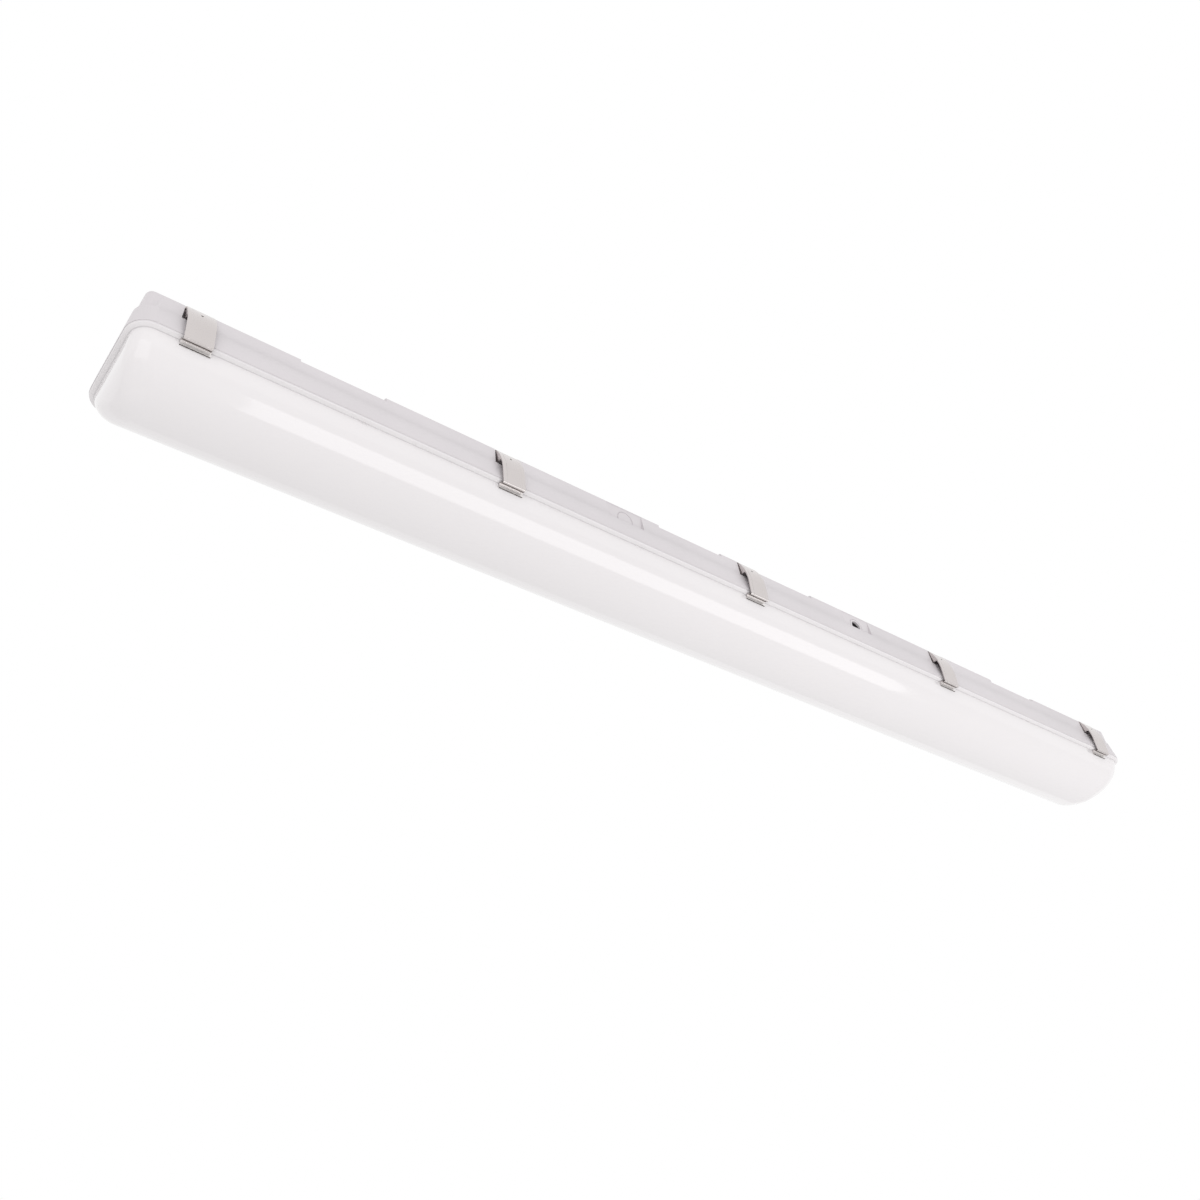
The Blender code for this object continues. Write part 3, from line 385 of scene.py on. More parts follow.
def circle_outline(radius, offset, axis, steps):
    """A circle about an axis through the origin, moved along that axis by offset."""
    points = []
    for step in range(steps):
        angle = 2 * math.pi * step / steps
        a, b = radius * math.cos(angle), radius * math.sin(angle)
        if axis == "X":
            points.append(Vector((offset, a, b)))
        elif axis == "Y":
            points.append(Vector((b, offset, a)))
        else:
            points.append(Vector((a, b, offset)))
    return points


def moved(points, shift):
    return [point + Vector(shift) for point in points]


def add_cylinder(shape, radius, start, length, axis, steps):
    first = moved(circle_outline(radius, 0, axis, steps), start)
    last = moved(circle_outline(radius, length, axis, steps), start)
    add_rings(shape, [first, last])


def add_prism(shape, section, x_low, x_high, side=1):
    """Draws a section, given as (reach from the middle, z), along X on the side named by side."""
    add_rings(shape, [[Vector((x, side * reach, z)) for reach, z in section] for x in (x_low, x_high)])


def combine(obj, shape, operation):
    """Joins a shape to an object or cuts it from it, at once."""
    other = add_object("helper", finish_mesh("helper", shape))
    modifier = obj.modifiers.new("combine", "BOOLEAN")
    modifier.operation = operation
    modifier.solver = "EXACT"
    modifier.object = other
    settle(obj)
    bpy.data.objects.remove(other)


def settle(obj):
    """Applies the object's modifiers."""
    bpy.context.view_layer.update()
    graph = bpy.context.evaluated_depsgraph_get()
    mesh = bpy.data.meshes.new_from_object(obj.evaluated_get(graph))
    obj.modifiers.clear()
    obj.data = mesh


def soften_edges(obj, width):
    """Rounds the sharp edges of a moulding or sheet a little."""
    modifier = obj.modifiers.new("soften", "BEVEL")
    modifier.width = width
    modifier.segments = edge_segments
    modifier.limit_method = "ANGLE"
    modifier.angle_limit = sharp_angle
    modifier.harden_normals = True
    settle(obj)


def give_finishes(mesh, *finishes):
    """Gives the mesh its finishes, in the order of their numbers on its faces."""
    mesh.materials.clear()
    for finish in finishes:
        mesh.materials.append(finish)


def latch_places():
    """X of the latches along one side, from the near end on."""
    return sorted((*symmetric(outer_latch_spacing), *symmetric(inner_latch_spacing), 0))


# Housing


def housing_half_width(height):
    """Outer half width of the housing at a height, between its lip and its back edge."""
    if height <= lip_height:
        return rim_width / 2
    if height <= crease_height:
        share = (height - lip_height) / (crease_height - lip_height)
        return rim_width / 2 - share * flare_run
    body_start = crease_height + crease_rise
    edge_start = housing_height - back_edge_radius
    share = min(max((height - body_start) / (edge_start - body_start), 0), 1)
    return rim_width / 2 - flare_run - crease_ledge - share * back_taper


def housing_ring(height, inset=0.0):
    """The housing's plan outline at a height up to its crease, drawn in by inset."""
    flare = rim_width / 2 - housing_half_width(height)
    half_length = rim_length / 2 - flare * end_flare_share - inset
    radius = rim_corner_radius - flare - inset
    return rounded_outline(half_length, rim_width / 2 - flare - inset, radius, at_height(height))


def arc_points(centre, radius, first_angle, last_angle, steps):
    points = []
    for step in range(steps + 1):
        angle = first_angle + (last_angle - first_angle) * step / steps
        points.append(Vector(centre) + Vector((math.cos(angle), math.sin(angle))) * radius)
    return points


def body_ring(height, inset=0.0):
    """The plan outline above the crease, drawn in by inset: its sides turn in to a nose at each end."""
    side = housing_half_width(height)
    nose_side = housing_half_width(housing_height) - nose_step
    end = rim_length / 2 - (rim_width / 2 - side) - nose_end_inset
    nose_centre = (end - nose_corner_radius, nose_side - nose_corner_radius)
    corner = arc_points(nose_centre, nose_corner_radius - inset, 0, math.pi / 2, nose_corner_steps)
    bend = math.acos(1 - (side - nose_side) / (nose_turn_radius + nose_hollow_radius))
    turn_centre = (end - nose_length, side - nose_turn_radius)
    turn_run = (nose_turn_radius + nose_hollow_radius) * math.sin(bend)
    hollow_centre = (turn_centre[0] + turn_run, nose_side + nose_hollow_radius)
    hollow_radius = nose_hollow_radius + inset
    foot = -math.pi / 2
    corner += arc_points(hollow_centre, hollow_radius, foot, foot - bend, nose_turn_steps)
    turn_start = math.pi / 2 - bend
    corner += arc_points(turn_centre, nose_turn_radius - inset, turn_start, math.pi / 2, nose_turn_steps)
    points = []
    for sign_x, sign_y in ((1, 1), (-1, 1), (-1, -1), (1, -1)):
        quarter = corner if sign_x == sign_y else corner[::-1]
        points += [Vector((sign_x * point.x, sign_y * point.y, at_height(height))) for point in quarter]
    return points


def back_edge_rings():
    rings = []
    for step in range(1, back_edge_steps + 1):
        angle = step / back_edge_steps * math.pi / 2
        inset = back_edge_radius * (1 - math.cos(angle))
        height = housing_height - back_edge_radius * (1 - math.sin(angle))
        rings.append(body_ring(height, inset))
    return rings


def housing_shell():
    inner_top = housing_height - outer_recess_depth - housing_wall
    shelf_reach = rim_width / 2 - rim_band_width
    groove_outer = rim_width / 2 - groove_outer_wall
    groove_inner = groove_outer - gasket_width - 2 * seat_gap
    shelf_inset = housing_half_width(rim_band_height) - shelf_reach

    def rim_ring(reach, height):
        return moved(housing_ring(0, rim_width / 2 - reach), (0, 0, height))

    rings = [
        body_ring(inner_top, housing_wall),
        body_ring(crease_height + crease_rise - housing_wall, housing_wall),
        housing_ring(crease_height - housing_wall, housing_wall),
        housing_ring(rim_band_height + crease_rise, housing_wall),
        housing_ring(rim_band_height, shelf_inset),
        rim_ring(shelf_reach, 0),
        rim_ring(groove_inner, 0),
        rim_ring(groove_inner, groove_depth),
        rim_ring(groove_outer, groove_depth),
        rim_ring(groove_outer, 0),
        rim_ring(rim_width / 2, 0),
        rim_ring(rim_width / 2, lip_height),
        housing_ring(crease_height),
        body_ring(crease_height + crease_rise),
        body_ring(housing_height - back_edge_radius),
        *back_edge_rings(),
    ]
    shape = bmesh.new()
    add_rings(shape, rings)
    return shape


def hinge_reach():
    return rim_width / 2 - hinge_inset


def slot_floor():
    """Half width of the slot's floor, just behind the latch's knuckle and ear."""
    return hinge_reach() - math.hypot(knuckle_radius, ear_back) - slot_floor_gap


def pocket_floor():
    return rim_width / 2 - pocket_floor_inset


def inner_block(floor):
    """Section of the block behind a slot or pocket, reaching out to the middle of the housing's wall."""
    foot = crease_height - housing_wall
    top = housing_height - back_edge_radius + housing_wall / 2
    back = floor - housing_wall
    middle = housing_wall / 2
    return [
        (back, at_height(top)),
        (back, at_height(foot)),
        (housing_half_width(foot) - middle, at_height(foot)),
        (housing_half_width(crease_height) - middle, at_height(crease_height)),
        (housing_half_width(top) - middle, at_height(top)),
    ]


def housing_bosses():
    """Everything moulded on the housing's inside: blocks behind slots and pockets, and tray bosses."""
    shape = bmesh.new()
    latch_half = latch_width / 2 + slot_side_gap + pin_engagement + housing_wall / 2
    pocket_half = pocket_length / 2 + housing_wall
    for side in (-1, 1):
        for x in latch_places():
            add_prism(shape, inner_block(slot_floor()), x - latch_half, x + latch_half, side)
        for x in symmetric(pocket_spacing):
            add_prism(shape, inner_block(pocket_floor()), x - pocket_half, x + pocket_half, side)
    foot = at_height(tray_height + tray_sheet + seat_gap)
    top = -outer_recess_depth - housing_wall / 2
    for x in tray_screw_places():
        low = moved(circle_outline(boss_radius, foot, "Z", pin_steps), (x, 0, 0))
        high = moved(circle_outline(boss_radius + boss_draft, top, "Z", pin_steps), (x, 0, 0))
        add_rings(shape, [low, high])
    return shape


def tray_screw_places():
    return (*symmetric(tray_screw_spacing), *symmetric(tray_inner_screw_spacing))


def add_back_cut(shape, low, high, depth, edge_drop):
    """Lowers the back between low and high by depth, and its edges by edge_drop."""
    reach = rim_width / 2 + cut_overrun
    flat = recess_flat_width / 2
    wall = housing_half_width(housing_height - edge_drop)
    slope = (edge_drop - depth) / (wall - flat)
    foot_z = -edge_drop - slope * (reach - wall)
    section = [(-reach, cut_overrun), (-reach, foot_z), (-flat, -depth), (flat, -depth), (reach, foot_z)]
    section.append((reach, cut_overrun))
    add_prism(shape, section, low, high)


def outer_recess_middles():
    return [recess_shift + spot for spot in symmetric(outer_recess_spacing)]


def back_recesses():
    """Low ground between the raised pads."""
    shape = bmesh.new()
    for spot in symmetric(inner_recess_spacing):
        low = recess_shift + spot - inner_recess_length / 2
        add_back_cut(shape, low, low + inner_recess_length, inner_recess_depth, inner_recess_edge_drop)
    for middle in outer_recess_middles():
        low = middle - outer_recess_length / 2
        add_back_cut(shape, low, low + outer_recess_length, outer_recess_depth, outer_recess_edge_drop)
    return shape


def end_pads():
    """The end pads stand a little lower than the middle ones."""
    shape = bmesh.new()
    for side, middle in zip((-1, 1), outer_recess_middles()):
        span = sorted((middle, side * (rim_length / 2 + cut_overrun)))
        add_back_cut(shape, *span, end_pad_drop, end_pad_edge_drop)
    return shape


def slots_and_pockets():
    shape = bmesh.new()
    reach = rim_width / 2 + cut_overrun
    slot_half = latch_width / 2 + slot_side_gap
    foot = at_height(crease_height + slot_foot_gap)
    slot = [(slot_floor(), foot), (reach, foot), (reach, cut_overrun), (slot_floor(), cut_overrun)]
    pocket_foot = at_height(crease_height + crease_rise)
    pocket_top = -pocket_top_drop
    inner = pocket_floor()
    pocket = [(inner, pocket_foot), (reach, pocket_foot), (reach, pocket_top), (inner, pocket_top)]
    for side in (-1, 1):
        for x in latch_places():
            add_prism(shape, slot, x - slot_half, x + slot_half, side)
        for x in symmetric(pocket_spacing):
            add_prism(shape, pocket, x - pocket_length / 2, x + pocket_length / 2, side)
    return shape


def slot_mouths():
    """Each slot widens from its top down to its foot, clear of the latch's ears."""
    shape = bmesh.new()
    reach = rim_width / 2 + cut_overrun
    top_half = latch_width / 2 + slot_side_gap
    foot_half = latch_width / 2 + slot_mouth_gap
    foot = at_height(crease_height + slot_foot_gap)
    top = -slot_mouth_drop
    corners = ((-foot_half, foot), (foot_half, foot), (top_half, top), (-top_half, top))
    for side in (-1, 1):
        for x in latch_places():
            inner = [Vector((x + across, side * slot_floor(), z)) for across, z in corners]
            outer = [Vector((x + across, side * reach, z)) for across, z in corners]
            add_rings(shape, [inner, outer])
    return shape


def housing_bores():
    """Pivot holes in the slots' side walls, tray screw holes and the open wire entry."""
    shape = bmesh.new()
    half = latch_width / 2 + slot_side_gap + pin_engagement + pin_clearance
    for side in (-1, 1):
        for x in latch_places():
            start = (x - half, side * hinge_reach(), -hinge_depth)
            add_cylinder(shape, pin_radius + pin_clearance, start, 2 * half, "X", pin_steps)
    for x in tray_screw_places():
        start = (x, 0, at_height(tray_height))
        add_cylinder(shape, tray_screw_radius + pin_clearance, start, tray_screw_length, "Z", pin_steps)
    start = (pocket_spacing / 2, -pocket_floor() - entry_ring_depth, at_height(entry_height))
    add_cylinder(shape, entry_radius, start, 2 * housing_wall + entry_ring_depth, "Y", entry_steps)
    return shape


def entry_rings():
    """A shallow round groove in each pocket's floor, where its entry is or can be knocked out."""
    shape = bmesh.new()
    outer = entry_radius + entry_ring_width
    inner = outer - entry_ring_groove
    for side in (-1, 1):
        for x in symmetric(pocket_spacing):
            floor = side * pocket_floor()
            near = floor + side * entry_ring_depth
            deep = floor - side * entry_ring_depth
            rows = [(inner, near), (outer, near), (outer, deep), (inner, deep)]
            place = (x, 0, at_height(entry_height))
            circles = [circle_outline(radius, y, "Y", entry_steps) for radius, y in rows]
            add_hoop(shape, [moved(circle, place) for circle in circles])
    return shape


def make_housing(finish):
    housing = add_object("housing_moulding", finish_mesh("housing_moulding", housing_shell()))
    combine(housing, housing_bosses(), "UNION")
    combine(housing, back_recesses(), "DIFFERENCE")
    combine(housing, end_pads(), "DIFFERENCE")
    combine(housing, slots_and_pockets(), "DIFFERENCE")
    combine(housing, slot_mouths(), "DIFFERENCE")
    combine(housing, housing_bores(), "DIFFERENCE")
    combine(housing, entry_rings(), "DIFFERENCE")
    soften_edges(housing, edge_softness)
    give_finishes(housing.data, finish)
    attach(housing, "fixture")
    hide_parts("housing")


# Lens


def lens_root_reach():
    """Outer half width of the lens's bowl where it meets the flange."""
    return rim_width / 2 - lens_flange_inset - lens_flange_width


def bowl_outline(down, inset):
    """Half length, half width and corner radius of the bowl at a share of its depth."""
    root = lens_root_reach()
    across = math.sqrt(1 - down**2)
    half_width = (root - inset) * across
    bulge = (1 - down**lens_end_roundness) ** (1 / lens_end_roundness)
    half_length = rim_length / 2 - rim_width / 2 + root - lens_end_length * (1 - bulge) - inset
    root_radius = rim_corner_radius - (rim_width / 2 - root)
    radius = root_radius + (lens_corner_radius - root_radius) * down**lens_corner_growth_share
    return half_length, half_width, min(radius - inset * across, half_width * lens_corner_share)


def lens_root_drop():
    return seat_gap + lens_flange_edge + lens_flange_draft


def lens_ring(angle, inset):
    """The bowl's outline part of the way down, drawn in by inset: an elliptic section, with fuller ends."""
    down = math.sin(angle)
    depth = (lens_depth - lens_root_drop() - inset) / math.sin(lens_last_angle)
    return rounded_outline(*bowl_outline(down, inset), at_height(-lens_root_drop() - depth * down))


def fillet_ring(angle):
    """A ring of the hollow fillet between the flange's underside and the bowl."""
    drop = lens_fillet * (1 - math.cos(angle))
    down = drop / (lens_depth - lens_root_drop()) * math.sin(lens_last_angle)
    outward = lens_fillet * (1 - math.sin(angle))
    half_length, half_width, radius = bowl_outline(down, 0)
    z = at_height(-lens_root_drop() - drop)
    return rounded_outline(half_length + outward, half_width + outward, radius + outward, z)


def flange_ring(reach, drop):
    drawn_in = rim_width / 2 - reach
    return rounded_outline(rim_length / 2 - drawn_in, reach, rim_corner_radius - drawn_in, at_height(-drop))


def lens_shell():
    angles = [lens_last_angle * i / (lens_levels - 1) for i in range(lens_levels)]
    flange_reach = rim_width / 2 - lens_flange_inset
    edge_drop = seat_gap + lens_flange_edge
    rings = [lens_ring(angle, lens_wall) for angle in reversed(angles)]
    rings.append(flange_ring(lens_root_reach() - lens_wall, joint_gap))
    rings.append(flange_ring(flange_reach, joint_gap))
    for step in range(round_steps + 1):
        angle = math.pi / 2 * step / round_steps
        reach = flange_reach - lens_flange_radius * (1 - math.cos(angle))
        rings.append(flange_ring(reach, edge_drop - lens_flange_radius * (1 - math.sin(angle))))
    rings.extend(fillet_ring(math.pi / 2 * step / fillet_steps) for step in range(fillet_steps + 1))
    fillet_down = lens_fillet / (lens_depth - lens_root_drop())
    rings.extend(lens_ring(angle, 0) for angle in angles if math.sin(angle) > fillet_down)
    shape = bmesh.new()
    add_rings(shape, rings)
    return shape


def lens_lugs():
    """Shallow round lugs under the flange, midway between neighbouring latches."""
    shape = bmesh.new()
    places = latch_places()
    length = lens_wall / 2 + lug_proud
    height = at_height(lug_rise - seat_gap - lens_flange_edge - lens_flange_draft / 2)
    for side in (-1, 1):
        root = side * (lens_root_reach() - lens_wall / 2)
        low = root - (length if side < 0 else 0)
        for first, second in zip(places[:-1], places[1:]):
            start = ((first + second) / 2, low, height)
            add_cylinder(shape, lug_radius, start, length, "Y", lug_steps)
    return shape


def lug_trim():
    """Takes off what of the lugs would stand above the face that the lens has to its gasket."""
    shape = bmesh.new()
    low = at_height(-joint_gap)
    high = low + lug_rise + lug_radius
    section = [(-rim_width, low), (rim_width, low), (rim_width, high), (-rim_width, high)]
    add_prism(shape, section, -rim_length, rim_length)
    return shape


def share_lens_finishes(mesh):
    """Second finish: a painted shade on the flange's upright edge. Third one: a darker painted shade in the
    crease below the flange and on the lugs.
    """
    edge_bottom = at_height(-lens_flange_edge)
    crease_top = at_height(-lens_root_drop())
    lug_face_start = lens_root_reach() + lug_proud / 2
    for face in mesh.polygons:
        z = face.center.z
        # Faces that get the painted shade: the upright edge, the crease and the lugs
        in_crease_shade = crease_top - lens_fillet < z < crease_top
        on_shaded_lug = z < crease_top and abs(face.center.y) > lug_face_start
        on_shaded_edge = z > edge_bottom and abs(face.normal.z) < facing_share
        face.material_index = 2 if in_crease_shade or on_shaded_lug else int(on_shaded_edge)


def make_lens(*finishes):
    lens = add_object("lens_moulding", finish_mesh("lens_moulding", lens_shell()))
    combine(lens, lens_lugs(), "UNION")
    combine(lens, lug_trim(), "DIFFERENCE")
    lens.data.set_sharp_from_angle(angle=sharp_angle)
    give_finishes(lens.data, *finishes)
    share_lens_finishes(lens.data)
    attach(lens, "fixture")
    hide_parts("lens")


# Latches


def offset_path(points, distance):
    """The path moved sideways by distance, with mitred corners."""
    moved_points = []
    for i, point in enumerate(points):
        before = (point - points[i - 1]).normalized() if i else None
        after = (points[i + 1] - point).normalized() if i + 1 < len(points) else None
        first = before or after
        second = after or before
        normal_a = Vector((-first.y, first.x))
        normal_b = Vector((-second.y, second.x))
        middle = (normal_a + normal_b).normalized()
        moved_points.append(point + middle * (distance / middle.dot(normal_a)))
    return moved_points


def rounded_path(corners, radius, steps):
    """A path through corners, each inner one replaced by an arc."""
    path = [corners[0]]
    for before, corner, after in zip(corners[:-2], corners[1:-1], corners[2:]):
        back = (before - corner).normalized()
        forth = (after - corner).normalized()
        half_angle = back.angle(forth) / 2
        run = radius / math.tan(half_angle)
        centre = corner + (back + forth).normalized() * (radius / math.sin(half_angle))
        start = corner + back * run - centre
        end = corner + forth * run - centre
        sweep = start.angle_signed(end)
        for step in range(steps + 1):
            turn = Matrix.Rotation(-sweep * step / steps, 2)
            path.append(centre + turn @ start)
    path.append(corners[-1])
    return path


def latch_face_reach():
    """Half width of the fixture to the middle of the latch's sheet, below its bow."""
    return rim_width / 2 + latch_standoff


def latch_bow():
    """Middle line of the bowed plate, from the hinge down, as (reach, height)."""
    centre = Vector((latch_face_reach() - latch_bow_radius, latch_bow_height))
    top = housing_height - hinge_depth + knuckle_radius - latch_sheet / 2
    top_angle = math.asin((top - latch_bow_height) / latch_bow_radius)
    points = []
    for step in range(latch_bow_steps + 1):
        angle = top_angle * (1 - step / latch_bow_steps)
        points.append(centre + Vector((math.cos(angle), math.sin(angle))) * latch_bow_radius)
    return points


def latch_line():
    """Middle line of the bent sheet: bowed plate, foot, hook under the flange and finger lip."""
    flange_reach = rim_width / 2 - latch_hook_inset
    foot = [
        latch_bow()[-1],
        Vector((latch_face_reach(), -latch_foot_drop)),
        Vector((flange_reach - latch_peak_reach, -latch_peak_drop)),
        Vector((flange_reach - latch_tip_reach, -latch_tip_drop)),
    ]
    return latch_bow()[:-1] + rounded_path(foot, latch_bend_radius, latch_bend_steps)


def sheet_outline(line):
    """Closed outline of the bent sheet, from its middle line."""
    return offset_path(line, latch_sheet / 2) + offset_path(line, -latch_sheet / 2)[::-1]


def bow_reach(height):
    """Reach of the bowed plate's middle line at a height."""
    rise = height - latch_bow_height
    return latch_face_reach() - latch_bow_radius + math.sqrt(latch_bow_radius**2 - rise**2)


def latch_ear():
    """Outline of one side flange: an ear from the hinge down that sweeps out to the plate's edge."""
    hinge = Vector((hinge_reach(), housing_height - hinge_depth))
    back = hinge.x - ear_back
    foot = crease_height + slot_foot_gap + ear_foot_gap
    outline = [
        Vector((hinge.x, hinge.y + knuckle_radius)),
        Vector((back, hinge.y + knuckle_radius / 2)),
        Vector((back, hinge.y - knuckle_radius)),
        Vector((back + ear_back / 2, foot)),
    ]
    corner = bow_reach(foot) - ear_sweep_radius
    sweep_centre = (corner, foot - ear_sweep_radius)
    outline += arc_points(sweep_centre, ear_sweep_radius, math.pi / 2, math.pi / 4, latch_bend_steps)
    lowest = foot - ear_sweep_radius
    outline.append(Vector((bow_reach(lowest), lowest)))
    return outline + [point for point in reversed(latch_bow()) if point.y > lowest]


def latch_prism(section, low, high):
    """A section of the -Y side's latch, given as (reach, height), drawn along X from low to high."""
    shape = bmesh.new()
    add_prism(shape, [(point.x, at_height(point.y)) for point in section], low, high, -1)
    bmesh.ops.translate(shape, vec=(0, hinge_reach(), hinge_depth), verts=shape.verts[:])
    return shape


def split_level(shape, height):
    """Cuts the faces of one latch along a level, so that each side of it can have its own finish."""
    parts = shape.verts[:] + shape.edges[:] + shape.faces[:]
    level = (0, 0, at_height(height) + hinge_depth)
    bmesh.ops.bisect_plane(shape, geom=parts, plane_co=level, plane_no=(0, 0, 1))


def latch_pin():
    """The pivot pin, with a thicker barrel between the ears."""
    shape = bmesh.new()
    pin_half = latch_width / 2 + slot_side_gap + pin_engagement
    barrel_half = latch_width / 2 - latch_sheet / 2
    rows = [(pin_radius, -pin_half), (pin_radius, -barrel_half), (knuckle_radius, -barrel_half)]
    rows += [(radius, -x) for radius, x in reversed(rows)]
    add_rings(shape, [circle_outline(radius, x, "X", pin_steps) for radius, x in rows])
    return shape


def dimple_place():
    """Middle of the dimple, on the plate's outer face, from the latch's own origin."""
    outward = bow_reach(dimple_height) + latch_sheet / 2 - hinge_reach()
    return Vector((0, -outward, at_height(dimple_height) + hinge_depth))


def latch_dimple():
    shape = bmesh.new()
    place = Matrix.Translation(dimple_place())
    bmesh.ops.create_uvsphere(
        shape, u_segments=pin_steps, v_segments=pin_steps // 2, radius=dimple_radius, matrix=place
    )
    return shape


def latch_mesh():
    """One latch for the -Y side, with its hinge axis along X through its own origin."""
    half = latch_width / 2
    plate_half = half - latch_edge_setback
    lip_half = half + latch_lip_overhang
    line = latch_line()
    lip_line = line[-latch_bend_steps - 2 :]
    plate = latch_prism(sheet_outline(line), -plate_half, plate_half)
    # The plate is cut where the painted shade on its foot starts and ends
    for drop in (fold_top_drop, fold_foot_drop):
        split_level(plate, -drop)
    latch = add_object("latch_shape", finish_mesh("latch_shape", plate))
    combine(latch, latch_prism(sheet_outline(lip_line), -lip_half, lip_half), "UNION")
    for side in (-1, 1):
        edges = sorted((side * half, side * (half - latch_sheet)))
        combine(latch, latch_prism(latch_ear(), *edges), "UNION")
    combine(latch, latch_pin(), "UNION")
    combine(latch, latch_dimple(), "DIFFERENCE")
    soften_edges(latch, latch_edge_softness)
    mesh = latch.data
    bpy.data.objects.remove(latch)
    return mesh


def share_latch_finishes(mesh):
    """Second finish: painted shade on the foot's fold, the lip's cut edge and the dimple. Third one: a
    painted highlight on the lip's face.
    """
    peak_reach = rim_width / 2 - latch_hook_inset - latch_peak_reach
    dimple = dimple_place()
    for face in mesh.polygons:
        reach = hinge_reach() - face.center.y
        height = housing_height - hinge_depth + face.center.z
        # Faces that get the painted shade: the fold at the foot, the dimple and the lip's cut edge
        level = -fold_foot_drop < height < -fold_top_drop
        in_fold_shade = level and peak_reach + latch_sheet < reach < latch_face_reach() - latch_sheet / 2
        in_dimple_shade = (face.center - dimple).length < dimple_radius and face.area < dimple_radius**2
        cut_edge_shade = height < -latch_tip_drop + latch_edge_softness
        face.material_index = 1 if in_fold_shade or in_dimple_shade or cut_edge_shade else 0
        # The lip's outward face gets the painted highlight
        on_lip_highlight = height < -latch_peak_drop and reach < peak_reach + latch_sheet
        if on_lip_highlight and not cut_edge_shade and face.normal.y < -facing_share:
            face.material_index = 2


def make_latches(*finishes):
    mesh = latch_mesh()
    give_finishes(mesh, *finishes)
    share_latch_finishes(mesh)
    for name, side, turn in (("front", -1, 0), ("rear", 1, math.pi)):
        for number, x in enumerate(latch_places(), start=1):
            body = f"latch_{name}_{number}"
            latch = add_object(f"{body}_sheet", mesh)
            latch.location = (x, side * hinge_reach(), -hinge_depth)
            latch.rotation_euler = (0, 0, turn)
            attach(latch, body)
            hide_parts(body)


# Materials


def new_material(name, colour, roughness, metallic=0.0):
    material = bpy.data.materials.new(name)
    material.use_nodes = True
    tree = material.node_tree
    shader = tree.nodes["Principled BSDF"]
    shader.inputs["Base Color"].default_value = (*colour, 1)
    shader.inputs["Roughness"].default_value = roughness
    shader.inputs["Metallic"].default_value = metallic
    return material, tree, shader


def noise(tree, scale, detail=noise_detail, stretch=(1, 1, 1)):
    """Noise in the object's own metres, squeezed by stretch along each axis."""
    place = tree.nodes.new("ShaderNodeTexCoord")
    mapping = tree.nodes.new("ShaderNodeMapping")
    mapping.inputs["Scale"].default_value = stretch
    texture = tree.nodes.new("ShaderNodeTexNoise")
    texture.inputs["Scale"].default_value = scale
    texture.inputs["Detail"].default_value = detail
    tree.links.new(place.outputs["Object"], mapping.inputs["Vector"])
    tree.links.new(mapping.outputs["Vector"], texture.inputs["Vector"])
    return texture.outputs["Fac"]


def map_range(tree, value, low, high):
    """Spreads a noise value over the span from low to high."""
    node = tree.nodes.new("ShaderNodeMapRange")
    node.inputs["From Min"].default_value = noise_low
    node.inputs["From Max"].default_value = noise_high
    node.inputs["To Min"].default_value = low
    node.inputs["To Max"].default_value = high
    tree.links.new(value, node.inputs["Value"])
    return node.outputs["Result"]


def vary_colour(tree, shader, value, first, second):
    mix = tree.nodes.new("ShaderNodeMix")
    mix.data_type = "RGBA"
    mix.inputs["A"].default_value = (*first, 1)
    mix.inputs["B"].default_value = (*second, 1)
    tree.links.new(value, mix.inputs["Factor"])
    tree.links.new(mix.outputs["Result"], shader.inputs["Base Color"])


def add_bump(tree, shader, value, height):
    bump = tree.nodes.new("ShaderNodeBump")
    bump.inputs["Distance"].default_value = height
    tree.links.new(value, bump.inputs["Height"])
    tree.links.new(bump.outputs["Normal"], shader.inputs["Normal"])
    return bump


def shaded(colour, factor):
    return tuple(part * factor for part in colour)


def plain_finish(name, colour, roughness, grain, height, metallic=0.0, spread=plain_spread):
    """A painted, plated or moulded surface: slight colour drift, uneven gloss and a fine grain."""
    material, tree, shader = new_material(name, colour, roughness, metallic)
    drift = map_range(tree, noise(tree, drift_scale), 0, 1)
    vary_colour(tree, shader, drift, shaded(colour, 1 - spread), shaded(colour, 1 + spread / 2))
    gloss = map_range(tree, noise(tree, gloss_scale), roughness - gloss_spread, roughness + gloss_spread)
    tree.links.new(gloss, shader.inputs["Roughness"])
    add_bump(tree, shader, noise(tree, grain), height)
    return material


def lens_finish(name, colour):
    """Frosted acrylic with a polished outer skin."""
    material, tree, shader = new_material(name, colour, lens_roughness)
    shader.inputs["Coat Weight"].default_value = 1
    shader.inputs["Coat Roughness"].default_value = lens_coat_roughness
    shader.inputs["IOR"].default_value = lens_ior
    drift = map_range(tree, noise(tree, drift_scale), 0, 1)
    vary_colour(tree, shader, drift, shaded(colour, 1 - lens_spread), colour)
    add_bump(tree, shader, noise(tree, lens_ripple_scale), lens_ripple)
    return material


